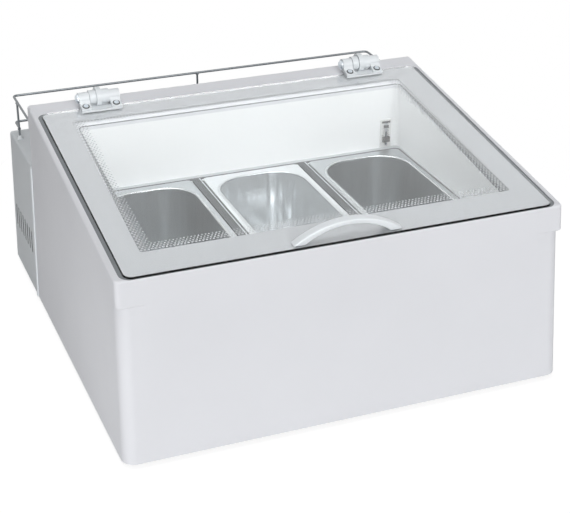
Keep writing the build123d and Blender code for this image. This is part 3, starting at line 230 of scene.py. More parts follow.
add_sun("front_softbox", toward=(-0.04, -0.935, 0.35), strength=2.30, width=50)
add_sun("upper_softbox", toward=(-0.16, -0.04, 0.985), strength=0.98, width=40)
add_sun("rear_softbox", toward=(0.25, 0.92, 0.28), strength=0.75, width=50, mirrored=False)
add_card("left_card", place=(-0.85, -0.36, 0.12), target=(-0.34, -0.30, 0.10), power=0.85, width=0.3)
print("lamps:", [lamp.name for lamp in bpy.data.lights])

# %% [markdown]
# ## Shared effects
# No real surface has one flat colour. Two small node groups give the variation that many
# finishes need: the faint clouding and grain of moulded plastic or paint, and the fine lines of
# brushed or drawn metal. Each material could have its own copy of these nodes, but a group is
# built once, and each material sets its own values on it.

# %% Node groups
COLOUR, VALUE, VECTOR = "NodeSocketColor", "NodeSocketFloat", "NodeSocketVector"
CLOUD_SWING, LINE_SWING = 0.06, 0.08


def new_group(name, **inputs):
    """Shader group with named inputs, and a colour, a roughness and a height as its outputs."""
    group = bpy.data.node_groups.new(name, "ShaderNodeTree")
    for label, kind in inputs.items():
        group.interface.new_socket(label.replace("_", " "), in_out="INPUT", socket_type=kind)
    for label, kind in (("Colour", COLOUR), ("Roughness", VALUE), ("Height", VALUE)):
        group.interface.new_socket(label, in_out="OUTPUT", socket_type=kind)
    return group, group.nodes.new("NodeGroupInput").outputs


def vary(group, given, pattern, height, swing):
    """Outputs of a group: a pattern from 0 to 1 mixes its two colours and moves its roughness.

    The roughness is the given one plus a share of the swing, from minus it to plus it.
    """
    shift = ranged(group, pattern, 0.0, 1.0, -swing, swing)
    colour = mixed_colour(group, pattern, given["Colour"], given["Shade"])
    roughness = reckon(group, "ADD", shift, given["Roughness"])
    add_node(group, "NodeGroupOutput", Colour=colour, Roughness=roughness, Height=height)


moulded_skin, given = new_group(
    "moulded_skin", Colour=COLOUR, Shade=COLOUR, Cloud_Scale=VALUE, Grain_Scale=VALUE, Roughness=VALUE
)
spot = add_node(moulded_skin, "ShaderNodeTexCoord").outputs["Object"]
cloud_noise = add_node(
    moulded_skin, "ShaderNodeTexNoise", Vector=spot, Scale=given["Cloud Scale"], Detail=3.0
)
grain_noise = add_node(
    moulded_skin, "ShaderNodeTexNoise", Vector=spot, Scale=given["Grain Scale"], Detail=2.0
)
vary(moulded_skin, given, cloud_noise.outputs["Fac"], grain_noise.outputs["Fac"], CLOUD_SWING)

drawn_lines, given = new_group("drawn_lines", Colour=COLOUR, Shade=COLOUR, Stretch=VECTOR, Roughness=VALUE)
spot = add_node(drawn_lines, "ShaderNodeTexCoord").outputs["Object"]
pull = add_node(drawn_lines, "ShaderNodeVectorMath", spot, given["Stretch"], operation="MULTIPLY")
line_noise = add_node(
    drawn_lines, "ShaderNodeTexNoise", Vector=pull.outputs["Vector"], Scale=1.0, Detail=4.0, Roughness=0.6
)
vary(drawn_lines, given, line_noise.outputs["Fac"], line_noise.outputs["Fac"], LINE_SWING)
print("node groups:", [group.name for group in bpy.data.node_groups])

# %% [markdown]
# ## Finishes
# Every finish has one Principled BSDF. What is the same all over is set on its own sockets,
# and what varies comes from a group, except in the glass: colour, roughness and a shallow bump.
# Colours are written as the grey levels that a display shows, with a tint, because that is how
# they compare with a photograph.

# %% Finish makers
NEUTRAL = (1.0, 1.0, 1.0)
GRAIN_DEPTH = 0.0004


def grey(level, tint):
    """Linear colour of a display level from 0 to 255 by the sRGB curve, with a tint multiplied in."""
    share = level / 255
    linear = share / 12.92 if share <= 0.04045 else ((share + 0.055) / 1.055) ** 2.4
    return (linear * tint[0], linear * tint[1], linear * tint[2], 1.0)


def two_tones(levels, tint, shade_tint=None):
    """The two colours that a group mixes, from two grey levels."""
    return dict(Colour=grey(levels[0], tint), Shade=grey(levels[1], shade_tint or tint))


def lit_through(tree, shader, tint):
    """The shader, but light from the lamps passes it with that tint, so what lies behind stays lit."""
    shadow_ray = add_node(tree, "ShaderNodeLightPath").outputs["Is Shadow Ray"]
    passed = add_node(tree, "ShaderNodeBsdfTransparent", Color=tint).outputs["BSDF"]
    return mixed_shader(tree, shadow_ray, shader, passed)


def grouped_finish(name, group, settings, bump, depth, lets_light=None, **constants):
    """Material with a Principled BSDF fed by a group; bump is its strength and depth its height.

    lets_light is the colour of the light that passes, for thin ink.
    """
    finish = bpy.data.materials.new(name)
    tree = empty_tree(finish)
    detail = add_node(tree, "ShaderNodeGroup", node_tree=group, **settings).outputs
    relief = add_node(tree, "ShaderNodeBump", Strength=bump, Distance=depth, Height=detail["Height"])
    surface = add_node(tree, "ShaderNodeBsdfPrincipled", **constants)
    set_input(tree, surface.inputs["Base Color"], detail["Colour"])
    set_input(tree, surface.inputs["Roughness"], detail["Roughness"])
    set_input(tree, surface.inputs["Normal"], relief.outputs["Normal"])
    shader = surface.outputs["BSDF"]
    if lets_light is not None:
        shader = lit_through(tree, shader, lets_light)
    add_node(tree, "ShaderNodeOutputMaterial", Surface=shader)
    return finish


def moulded(
    name, levels, roughness, tint=NEUTRAL, shade_tint=None, cloud=6.0, grain=900.0, bump=0.08, **constants
):
    """Plastic, rubber or paint with faint clouding and grain; cloud and grain are marks per metre."""
    settings = two_tones(levels, tint, shade_tint)
    settings.update(Cloud_Scale=cloud, Grain_Scale=grain, Roughness=roughness)
    return grouped_finish(name, moulded_skin, settings, bump, GRAIN_DEPTH, **constants)


def drawn(
    name, levels, roughness, stretch, tint=NEUTRAL, shade_tint=None, bump=0.05, depth=0.0003, metal=1.0
):
    """Metal with fine lines; stretch is how many lines there are per metre along each axis."""
    settings = two_tones(levels, tint, shade_tint)
    settings.update(Stretch=stretch, Roughness=roughness)
    return grouped_finish(name, drawn_lines, settings, bump, depth, Metallic=metal)


# %% Plastics, paint and rubber
COOL, STEEL, PALE = (0.957, 1.0, 1.03), (0.93, 1.0, 1.06), (0.975, 1.0, 1.02)
SHELL_TINT, LINER_TINT, INK_TINT = (0.967, 0.978, 1.02), (0.984, 0.991, 1.003), (0.968, 0.989, 1.041)
FOAM_TINT, FOAM_SHADE, GREEN, BLUE = (1.0, 0.9, 0.62), (1.0, 0.88, 0.55), (0.25, 1.0, 0.35), (0.6, 0.75, 1.0)
LOW_GLOSS = 0.08
PAINT = dict(levels=(224, 217), roughness=0.48, tint=COOL, grain=650.0, Specular_IOR_Level=LOW_GLOSS)
shell_white = moulded("shell_white", (233, 227), 0.45, SHELL_TINT, Specular_IOR_Level=LOW_GLOSS)
liner_white = moulded("liner_white", (250, 247), 0.35, LINER_TINT)
fitting_white = moulded("fitting_white", (228, 221), 0.36, COOL, grain=1400.0)
handle_white = moulded("handle_white", (244, 239), 0.34, COOL, grain=1400.0)
paint_white = moulded("paint_white", **PAINT)
strip_grey = moulded("strip_grey", (132, 118), 0.55, STEEL, cloud=40.0)
trim_grey_and_shade = moulded("trim_grey_and_shade", (116, 104), 0.6, STEEL, cloud=30.0)
ledge_shade_grey = moulded("ledge_shade_grey", (198, 191), 0.45, COOL, cloud=20.0)
gap_shade_dark = moulded("gap_shade_dark", (92, 78), 0.7, COOL, cloud=40.0)
mark_dark = moulded("mark_dark", (84, 72), 0.5, cloud=60.0)
mark_white = moulded("mark_white", (238, 230), 0.5, cloud=60.0)
# Painted shade: the dark mats behind the louvres stand for the shade inside the housing.
louvre_shade_dark = moulded("louvre_shade_dark", (58, 40), 0.9, cloud=400.0, bump=0.6)
# Black rubber of the feet and grommets, also used for the painted shade rings round the hinge screws.
rubber_black_and_shade = moulded("rubber_black_and_shade", (48, 38), 0.7, cloud=30.0)
foam_yellow = moulded("foam_yellow", (222, 205), 0.85, FOAM_TINT, FOAM_SHADE, grain=260.0, bump=0.5)
enamel_black = moulded("enamel_black", (36, 28), 0.3, cloud=12.0)
plastic_black = moulded("plastic_black", (44, 36), 0.5, cloud=20.0)
plastic_grey = moulded("plastic_grey", (150, 140), 0.5, cloud=20.0)
rocker_green = moulded("rocker_green", (150, 140), 0.3, GREEN, cloud=40.0)
card_white = moulded("card_white", (228, 222), 0.5, cloud=60.0)
spirit_blue = moulded("spirit_blue", (90, 84), 0.3, BLUE, cloud=60.0)
ink_grey = moulded("ink_grey", (179, 175), 0.45, INK_TINT, cloud=9.0, lets_light=(0.6, 0.6, 0.6, 1.0))
print("materials so far:", len(bpy.data.materials))

# %% Metals
COPPER, COPPER_SHADE = (1.0, 0.62, 0.42), (1.0, 0.58, 0.38)
BAR_LINES, POLISH_SHEEN_LINES, EVEN_LINES = (900.0, 20.0, 900.0), (34.0, 34.0, 5.0), (40.0, 40.0, 40.0)
pan_satin = drawn("pan_satin", (217, 203), 0.36, (260.0, 260.0, 12.0), COOL)
# The centre pan's low roughness is its polish; its paler colour, part-matt metal and coarse upright streaks
# are painted reflection.
pan_polished_sheen = drawn("pan_polished_sheen", (251, 244), 0.12, POLISH_SHEEN_LINES, PALE, bump=0.35, depth=0.002, metal=0.8)
pan_lip = drawn("pan_lip", (232, 222), 0.22, EVEN_LINES, PALE)
# Painted reflection: the dividers' steel is coloured dark grey for the dark that it mirrors.
bar_steel_dark_reflection = drawn("bar_steel_dark_reflection", (112, 94), 0.4, BAR_LINES, STEEL)
# Painted highlight: the dividers' upturned edges are a near-white copy of the same steel.
bar_edge_highlight = drawn("bar_edge_highlight", (244, 236), 0.3, BAR_LINES, COOL)
zinc_sheet = drawn("zinc_sheet", (190, 160), 0.4, (60.0, 60.0, 60.0))
rail_zinc = drawn("rail_zinc", (138, 112), 0.34, (30.0, 300.0, 300.0), STEEL)
screw_zinc = drawn("screw_zinc", (226, 206), 0.35, (700.0, 700.0, 700.0), STEEL)
copper_tube = drawn("copper_tube", (205, 180), 0.32, EVEN_LINES, COPPER, COPPER_SHADE)
fin_aluminium = drawn("fin_aluminium", (205, 185), 0.38, (900.0, 40.0, 900.0))
print("materials so far:", len(bpy.data.materials))

# %% [markdown]
# ### Housing paint
# The folded front edge of the housing faces the front light and shows paler than the rest of the
# sheet in the photograph, and the insides of the louvre slots lie in shade and show dark. Both are
# painted into the sheet's colour: a painted highlight on the edge and painted shade in the slots.
# The edge and the slots could be pieces of their own, but both lie in known slices of the housing,
# so limits in object coordinates mark them on the one sheet.

# %% Painted highlight on the fold
HEM_REAR, HEM_BLUR, HEM_HIGHLIGHT_LEVEL = 0.1880, 0.0006, 243
housing_paint = moulded("housing_paint", **PAINT)
paint_tree = housing_paint.node_tree
paint_detail = next(node for node in paint_tree.nodes if node.type == "GROUP")
paint_surface = next(node for node in paint_tree.nodes if node.type == "BSDF_PRINCIPLED")
paint_place = add_node(paint_tree, "ShaderNodeTexCoord").outputs["Object"]
paint_axes = add_node(paint_tree, "ShaderNodeSeparateXYZ", paint_place).outputs
# Painted highlight: the folded front edge is painted paler than the rest of the sheet.
fold_highlight_mask = ranged(paint_tree, paint_axes["Y"], HEM_REAR + HEM_BLUR, HEM_REAR)
fold_highlight_colour = mixed_colour(paint_tree, fold_highlight_mask, paint_detail.outputs["Colour"], grey(HEM_HIGHLIGHT_LEVEL, COOL))
print("housing paint with a fold up to y =", HEM_REAR)


# %% Painted shade in the slots
def node_box(name):
    """Lowest and highest corner of a CAD node, to a thousandth of a millimetre."""
    return np.round([list(corner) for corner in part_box(name)], 6)


shell_low, shell_high = node_box("outer_shell")
SIDE_HALF, SIDE_LEAN, BOTTOM_Z = shell_high[0], tan(radians(1.6)), shell_low[2]
SLOT_LOW, SLOT_HIGH, SLOT_REAR, SLOT_DEPTH, SLOT_SHADE_LEVEL = 0.074, 0.116, 0.339, 0.0002, 60
SLOT_LIMITS = (("Z", "GREATER_THAN", SLOT_LOW), ("Z", "LESS_THAN", SLOT_HIGH), ("Y", "LESS_THAN", SLOT_REAR))


def side_wall(z):
    """Half width of the case at a height: it leans in evenly from the bottom upwards."""
    return SIDE_HALF - SIDE_LEAN * (z - BOTTOM_Z)


# A leaning wall is a straight line, so its places at heights 0 and 1 m give it at any height.
wall_low, wall_high = side_wall(0.0) - SLOT_DEPTH, side_wall(1.0) - SLOT_DEPTH
# Painted shade: where the sheet lies inside the outer face of the wall, in the slots, it is darkened.
slot_floor = ranged(paint_tree, paint_axes["Z"], 0.0, 1.0, wall_low, wall_high, clamp=False)
slot_shade_mask = reckon(paint_tree, "LESS_THAN", reckon(paint_tree, "ABSOLUTE", paint_axes["X"]), slot_floor)
for axis, side, limit in SLOT_LIMITS:
    within = reckon(paint_tree, side, paint_axes[axis], limit)
    slot_shade_mask = reckon(paint_tree, "MULTIPLY", slot_shade_mask, within)
slot_shade_colour = mixed_colour(paint_tree, slot_shade_mask, fold_highlight_colour, grey(SLOT_SHADE_LEVEL, COOL))
set_input(paint_tree, paint_surface.inputs["Base Color"], slot_shade_colour)
print("dark slots from z =", SLOT_LOW, "to", SLOT_HIGH)

# %% [markdown]
# ### Glass
# The lid is a sheet of clear glass, and the thermometer has a glass tube. Real glass lets lamp
# light through, but a path tracer gives it a full shadow unless caustics are followed, which is
# slow and noisy. Passing shadow rays straight through with a tint gives a lit tub at once.

# %% Clear glass
SLOPE = radians(7.3)
GLASS_IOR, LAMP_TINT = 1.46, (0.67, 0.68, 0.68, 1.0)
CUT_START, CUT_FULL = 0.4, 0.2
HAZE_SCALE, HAZE_START, HAZE_END, HAZE_ROUGH = 14.0, 0.5, 0.9, 0.03


def clear_glass(name, tint, edge, facing):
    """Clear glass with a faint film of haze, through which the lamps shine.

    A long way through glass swallows light, so faces whose normal is square to the facing axis,
    which are the cut edges of a sheet, take the edge colour: the share rises as the dot product
    of normal and axis falls.
    """
    finish = bpy.data.materials.new(name)
    tree = empty_tree(finish)
    place = add_node(tree, "ShaderNodeTexCoord").outputs
    level = add_node(tree, "ShaderNodeVectorMath", place["Normal"], facing, operation="DOT_PRODUCT")
    cut = ranged(tree, reckon(tree, "ABSOLUTE", level.outputs["Value"]), CUT_START, CUT_FULL)
    film = add_node(tree, "ShaderNodeTexNoise", Vector=place["Object"], Scale=HAZE_SCALE, Detail=5.0)
    haze = ranged(tree, film.outputs["Fac"], HAZE_START, HAZE_END, 0.0, HAZE_ROUGH)
    surface = add_node(tree, "ShaderNodeBsdfPrincipled", Transmission_Weight=1.0, IOR=GLASS_IOR)
    set_input(tree, surface.inputs["Base Color"], mixed_colour(tree, cut, tint, edge))
    set_input(tree, surface.inputs["Roughness"], haze)
    shader = lit_through(tree, surface.outputs["BSDF"], LAMP_TINT)
    add_node(tree, "ShaderNodeOutputMaterial", Surface=shader)
    return finish


lid_clear = clear_glass(
    "lid_clear",
    tint=(0.985, 0.995, 0.99, 1.0),
    edge=(0.25, 0.26, 0.27, 1.0),
    facing=(0.0, -sin(SLOPE), cos(SLOPE)),
)
tube_clear = clear_glass(
    "tube_clear", tint=(0.96, 0.98, 1.0, 1.0), edge=(0.90, 0.94, 1.0, 1.0), facing=(0.0, 0.0, 1.0)
)
print("materials:", len(bpy.data.materials))

# %% [markdown]
# ## Dressing the CAD pieces
# A piece whose CAD shape is right needs no new mesh. It only gets its finish in place of the
# plain colour that it came with, so its shape and its place stay exactly those of the model.


# %% Dress the CAD nodes
def dress(finish, *names):
    """Give CAD nodes a finish."""
    for name in names:
        nodes[name].data.materials.clear()
        nodes[name].data.materials.append(finish)


dress(shell_white, "outer_shell", "top_rim")
dress(liner_white, "liner_tub")
dress(handle_white, "lid_handle")
dress(fitting_white, "hinge_leaf_left", "hinge_leaf_right")
dress(fitting_white, "hinge_bracket_left", "hinge_bracket_right")
dress(housing_paint, "rear_housing")
dress(paint_white, "rear_panel")
dress(lid_clear, "lid_glass")
dress(strip_grey, "lid_gasket")
dress(rubber_black_and_shade, "rubber_feet", "compressor_grommets")
dress(pan_satin, "pan_left", "pan_right")
dress(pan_polished_sheen, "pan_centre")
dress(bar_steel_dark_reflection, "divider_bar_left", "divider_bar_right")
dress(zinc_sheet, "base_plate", "chassis_tray", "fan_bracket")
dress(rail_zinc, "guard_rail")
dress(screw_zinc, "hinge_screws", "hinge_bracket_screws", "rear_panel_screws")
dress(screw_zinc, "hinge_pin_left", "hinge_pin_right", "inlet_pins", "compressor_studs")
dress(foam_yellow, "insulation_foam")
dress(copper_tube, "evaporator_coil", "condenser_bends", "filter_drier", "thermostat_sensor")
dress(copper_tube, "discharge_pipe", "liquid_pipe", "capillary_tube", "suction_pipe")
dress(fin_aluminium, "condenser_core")
dress(enamel_black, "compressor", "fan_motor")
dress(plastic_black, "fan_shroud", "fan_blade", "relay_cover")
dress(plastic_black, "thermostat_knob", "switch_body", "power_inlet")
dress(rocker_green, "switch_rocker")
dress(plastic_grey, "thermostat_body", "terminal_box", "terminal_lid")
dress(card_white, "thermometer_plate")
dress(tube_clear, "thermometer_tube")
print("dressed", len(nodes), "nodes")

# %% [markdown]
# ## Printed border of the glass
# The lid's edge is screen printed in pale grey on the underside of the glass, and fades into
# the clear window in rows of dots that shrink. An alpha mask could draw it, but a print is a
# real layer of ink, so here it is a very thin ring and a field of thin hexagonal dots.


# %% From arrays to a piece
def new_piece(name, points, faces, finish, body, slot, smooth=False):
    """Mesh from an array of points and a list of faces, with its finish, riding on a body.

    A closed mesh whose faces look inwards encloses a negative volume, and is turned round.
    """
    mesh = bpy.data.meshes.new(name)
    mesh.from_pydata(np.asarray(points, float).reshape(-1, 3).tolist(), [], faces)
    mesh.polygons.foreach_set("use_smooth", np.full(len(mesh.polygons), smooth))
    mesh.materials.append(finish)
    form = bmesh.new()
    form.from_mesh(mesh)
    inside_out = form.calc_volume(signed=True) < 0
    form.free()
    if inside_out:
        mesh.flip_normals()
    mesh.update()
    piece = bpy.data.objects.new(name, mesh)
    scene.collection.objects.link(piece)
    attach(piece, body)
    print("piece:", name, len(mesh.polygons), "faces on", body)


def rounded_loop(half, low, high, radius, steps=8):
    """Rounded rectangle as a loop of points: a quarter circle of that radius at each corner."""
    turn = np.linspace(0, np.pi / 2, steps)[None, :] + np.arange(4)[:, None] * np.pi / 2
    x = np.array([1, -1, -1, 1])[:, None] * (half - radius) + radius * np.cos(turn)
    y = np.array([high - radius, high - radius, low + radius, low + radius])[:, None] + radius * np.sin(turn)
    return np.stack([x, y], -1).reshape(-1, 2)


def ring_faces(count, sides):
    """Quads of a closed profile of that many sides carried round a closed path of count points."""
    step, side = np.meshgrid(np.arange(count), np.arange(sides), indexing="ij")
    ahead, beside = (step + 1) % count, (side + 1) % sides
    here, there = step * sides, ahead * sides
    return np.stack([here + side, here + beside, there + beside, there + side], -1).reshape(-1, 4).tolist()


# %% Ring of ink
# Fronts and rears are measured up the slope, from the seam at the rear of the shell.
SEAM_Y, SEAM_Z = shell_high[1], 0.350
PRINT_TOP, PRINT_LOW = -0.00303, -0.00308
GLASS_HALF, GLASS_FRONT, GLASS_REAR, GLASS_CORNER = 0.3221, -0.5169, -0.0384, 0.0115
WINDOW_FRONT, WINDOW_REAR, WINDOW_CORNER = -0.4600, -0.0750, 0.004
WINDOW_HALF, WINDOW_SPREAD, WINDOW_MIDDLE = 0.2795, 0.0040, -0.0012


def on_lid(across, along, above):
    """Points on the lid: across is X, along runs up its slope from the seam, above is off its plane."""
    across, along, above = np.broadcast_arrays(across, along, above)
    y = SEAM_Y + along * cos(SLOPE) - above * sin(SLOPE)
    z = SEAM_Z + along * sin(SLOPE) + above * cos(SLOPE)
    return np.stack([across, y, z], axis=-1)


def window_half(along):
    """Half width of the clear window, which widens a little down the slope."""
    return WINDOW_HALF + WINDOW_SPREAD * (WINDOW_REAR - along) / (WINDOW_REAR - WINDOW_FRONT)


ink_edge = rounded_loop(GLASS_HALF, GLASS_FRONT, GLASS_REAR, GLASS_CORNER)
window = rounded_loop(WINDOW_HALF, WINDOW_FRONT, WINDOW_REAR, WINDOW_CORNER)
window[:, 0] = WINDOW_MIDDLE + window[:, 0] * window_half(window[:, 1]) / WINDOW_HALF
ink_corners = ((ink_edge, PRINT_TOP), (ink_edge, PRINT_LOW), (window, PRINT_LOW), (window, PRINT_TOP))
ink_ring = np.stack([on_lid(loop[:, 0], loop[:, 1], above) for loop, above in ink_corners], axis=1)
ink_faces = ring_faces(len(ink_edge), len(ink_corners))
new_piece("glass_border_print", ink_ring, ink_faces, ink_grey, "lid", "white_rim")


# %% Rows of dots
DOT_SIDES, DOT_PITCH, DOT_LARGE, DOT_SMALL = 6, 0.0052, 0.00205, 0.00130
FADE_SIDE, FADE_FRONT, FADE_REAR, FADE_START = 0.018, 0.020, 0.004, 0.02


def prisms(tops, lows):
    """Closed prisms between two sets of outlines, as arrays of count, sides and three coordinates.

    Each has its top, its base in the opposite order, and a wall face along every side.
    """
    count, sides = tops.shape[:2]
    first = 2 * sides * np.arange(count)[:, None]
    edge = np.arange(sides)
    ahead = (edge + 1) % sides
    caps = np.concatenate([first + edge, first + sides + edge[::-1]])
    walls = first[..., None] + np.stack([edge, edge + sides, ahead + sides, ahead], -1)
    return np.concatenate([tops, lows], axis=1), caps.tolist() + walls.reshape(-1, 4).tolist()


# Every second row is shifted by half a pitch, and the rows lie as close as equal triangles allow.
dot_rows = np.arange(WINDOW_FRONT, WINDOW_REAR, DOT_PITCH * np.sqrt(3) / 2)
dot_columns = np.arange(-WINDOW_HALF - WINDOW_SPREAD, WINDOW_HALF + WINDOW_SPREAD, DOT_PITCH)
dot_x, dot_v = np.meshgrid(dot_columns, dot_rows)
dot_x = dot_x + (np.arange(len(dot_rows))[:, None] % 2) * DOT_PITCH / 2
from_side = (window_half(dot_v) - np.abs(dot_x)) / FADE_SIDE
from_front, from_rear = (dot_v - WINDOW_FRONT) / FADE_FRONT, (WINDOW_REAR - dot_v) / FADE_REAR
dot_fade = np.minimum.reduce([from_side, from_front, from_rear])
dot_shown = (dot_fade > FADE_START) & (dot_fade < 1.0)
dot_r = (DOT_LARGE + (DOT_SMALL - DOT_LARGE) * dot_fade[dot_shown])[:, None]
spin = np.arange(DOT_SIDES) * 2 * np.pi / DOT_SIDES
dot_across = WINDOW_MIDDLE + dot_x[dot_shown][:, None] + dot_r * np.cos(spin)
dot_along = dot_v[dot_shown][:, None] + dot_r * np.sin(spin)
dots = prisms(on_lid(dot_across, dot_along, PRINT_TOP), on_lid(dot_across, dot_along, PRINT_LOW))
new_piece("glass_border_dots", *dots, ink_grey, "lid", "white_rim")

# %% [markdown]
# ## Trim of the tub's opening
# Under the glass, a soft grey edge strip is pushed over the raw edge of the rim, and hides the
# joint between the rim and the liner. Its grey is partly that strip and partly painted shade: its
# width follows where the edge shows dark, widening towards the front along the right side, and
# only near the front on the left. A bevelled curve could draw it, but its profile changes on the
# way: it climbs with the slope of the lid, and is wide at the front and thin along the wall behind
# the pans. So a profile of a flange and a hanging lip is carried round the opening, and then
# shrunk towards the edge of the rim where it is thin.

# %% Profile carried round a rounded rectangle
OPENING_HALF, OPENING_FRONT, OPENING_REAR, OPENING_CORNER = 0.275, -0.2905, 0.0945, 0.008
RECESS, TRIM_LIFT = 0.0055, 0.00005
TRIM_THIN, LEFT_START, LEFT_RUN = 0.12, 0.50, 0.10
TRIM_EDGE = (-TRIM_LIFT, TRIM_LIFT)
TRIM_PROFILE = [
    (0.0096, TRIM_LIFT),
    (0.0096, 0.0008),
    (0.0092, 0.0012),
    (0.0000, 0.0012),
    (-0.0009, 0.0009),
    (-0.0012, 0.0002),
    (-0.0012, -0.0078),
    (-0.0008, -0.0082),
    (-TRIM_LIFT, -0.0082),
    TRIM_EDGE,
]


def carried_ring(half, low, high, corner, profile, level, middle=0.0):
    """Closed profile carried round a rounded rectangle.

    Each profile point is (out, up): the rectangle is pushed out by the first, and lifted by the
    second above level(y).
    """
    loops = []
    for out, up in profile:
        loop = rounded_loop(half + out, low - out, high + out, corner + out)
        loops.append(np.column_stack([loop[:, 0] + middle, loop[:, 1], level(loop[:, 1]) + up]))
    return np.stack(loops, axis=1), ring_faces(len(loops[0]), len(profile))


def rim_floor(y):
    """Height of the recess under the glass: the lid's plane at y, less the recess's depth."""
    return SEAM_Z + (y - SEAM_Y) * tan(SLOPE) - RECESS / cos(SLOPE)


opening = (OPENING_HALF, OPENING_FRONT, OPENING_REAR, OPENING_CORNER)
trim_full, trim_faces = carried_ring(*opening, TRIM_PROFILE, rim_floor)
trim_edge = carried_ring(*opening, [TRIM_EDGE], rim_floor)[0]
to_front = (OPENING_REAR - trim_edge[..., 1]) / (OPENING_REAR - OPENING_FRONT)
left_share = np.clip((to_front - LEFT_START) / LEFT_RUN, 0, 1)
# Painted shade: the strip's width, and so its grey, follows where the edge shows dark.
trim_shade_share = TRIM_THIN + (1 - TRIM_THIN) * np.where(trim_edge[..., 0] > 0, to_front, left_share)
trim_points = trim_edge + trim_shade_share[..., None] * (trim_full - trim_edge)
new_piece("opening_trim", trim_points, trim_faces, trim_grey_and_shade, "case", "gasket_rubber")

# %% [markdown]
# ## Ledge, pan lips and divider edges
# The pans hang on a ledge. A dark ring round their flanges is painted shade in the gap between
# flange and ledge, a pale grey strip over the rest of the ledge is painted shade, each pan's mouth
# has a rolled bead that catches the light, and each divider has an upturned edge whose bright
# steel is a painted highlight. Lines in a material could stand for them, but light finds their
# real edges from every side, so each is a thin solid: a ring, a carried profile or a bar.

# %% Ledge strips
LEDGE_Z, LEDGE_LIFT = 0.2226, 0.00001
# Half width, front, rear and corner radius of each loop.
GAP_SHADE_OUTER, GAP_SHADE_INNER = (0.2703, -0.2878, 0.0800, 0.0100), (0.2676, -0.2851, 0.0761, 0.0086)
LEDGE_SHADE_OUTER, LEDGE_SHADE_INNER = (0.2747, -0.2902, 0.0912, 0.0076), (0.2705, -0.2880, 0.0802, 0.0100)
GAP_SHADE_HIGH, LEDGE_SHADE_HIGH = 0.0017, 0.0010


def ledge_ring(outer, inner, thickness):
    """Flat ring on the ledge between two rounded rectangles."""
    low, high = LEDGE_Z + LEDGE_LIFT, LEDGE_Z + thickness
    loops = []
    for size, level in ((outer, low), (outer, high), (inner, high), (inner, low)):
        loop = rounded_loop(*size)
        loops.append(np.column_stack([loop, np.full(len(loop), level)]))
    return np.stack(loops, axis=1), ring_faces(len(loops[0]), len(loops))


# Painted shade: a dark ring in the gap round the pans' flanges.
gap_shade_ring = ledge_ring(GAP_SHADE_OUTER, GAP_SHADE_INNER, GAP_SHADE_HIGH)
new_piece("pan_gap_shade", *gap_shade_ring, gap_shade_dark, "case", "black_rubber")
# Painted shade: a grey ring over the rest of the ledge, which lies in shade.
ledge_shade_ring = ledge_ring(LEDGE_SHADE_OUTER, LEDGE_SHADE_INNER, LEDGE_SHADE_HIGH)
new_piece("ledge_shade_strip", *ledge_shade_ring, ledge_shade_grey, "case", "white_liner")

# %% Rolled beads round the mouths of the pans
pan_low, pan_high = node_box("pan_centre")
PAN_HALF, PAN_FRONT, PAN_REAR, PAN_TOP = pan_high[0], pan_low[1], pan_high[1], pan_high[2]
PAN_PITCH = node_box("pan_right")[1][0] - PAN_HALF
FLANGE_SIDE, FLANGE_END, MOUTH_CORNER = 0.010, 0.017, 0.052
BEAD_INNER, BEAD_OUTER, BEAD_RISE, BEAD_STEPS = -0.0007, 0.0040, 0.0014, 9
BEAD_SINK_INNER, BEAD_SINK_OUTER = 0.0014, 0.0004
mouth = (PAN_HALF - FLANGE_SIDE, PAN_FRONT + FLANGE_END, PAN_REAR - FLANGE_END, MOUTH_CORNER)
bead_middle, bead_half = (BEAD_INNER + BEAD_OUTER) / 2, (BEAD_OUTER - BEAD_INNER) / 2
bead_turn = np.linspace(0, np.pi, BEAD_STEPS)
bead_profile = [(bead_middle + bead_half * cos(turn), BEAD_RISE * sin(turn)) for turn in bead_turn]
bead_profile += [(BEAD_INNER, -BEAD_SINK_INNER), (BEAD_OUTER, -BEAD_SINK_OUTER)]


def on_pans(y):
    """Height of the pans' flanges, the same for every y."""
    return np.full(len(y), PAN_TOP)


for column, body in ((-1, "left_pan"), (0, "centre_pan"), (1, "right_pan")):
    bead = carried_ring(*mouth, bead_profile, on_pans, column * PAN_PITCH)
    new_piece(body + "_bead", *bead, pan_lip, body, "stainless_steel", smooth=True)

# %% Edges of the dividers, bright as a painted highlight
EDGE_LEFT, EDGE_RIGHT, EDGE_RISE, EDGE_INSET = 0.0042, 0.0058, 0.0010, 0.001


def blocks(lows, highs):
    """Set of boxes from arrays of lowest and highest corners: prisms with a rectangle as outline."""
    lows, highs = np.asarray(lows, float)[:, None], np.asarray(highs, float)[:, None]
    corner = np.array([[0, 0], [1, 0], [1, 1], [0, 1]])
    base = np.where(np.column_stack([corner, np.zeros(4)]) == 1, highs, lows)
    top = np.where(np.column_stack([corner, np.ones(4)]) == 1, highs, lows)
    return prisms(top, base)


divider_x = np.array([-0.5, 0.5]) * PAN_PITCH
edge_lows = [(x + EDGE_LEFT, PAN_FRONT + EDGE_INSET, PAN_TOP) for x in divider_x]
edge_highs = [(x + EDGE_RIGHT, PAN_REAR - EDGE_INSET, PAN_TOP + EDGE_RISE) for x in divider_x]
new_piece("divider_edges", *blocks(edge_lows, edge_highs), bar_edge_highlight, "case", "stainless_steel")

# %% [markdown]
# ## Thermometer
# A white card with a glass tube on it. What makes it read as a thermometer is the dark liquid,
# the row of graduation lines on each side, and the dark clips that hold the tube. They could be
# drawn on the card by a material, but raised marks keep their edges however close one looks.

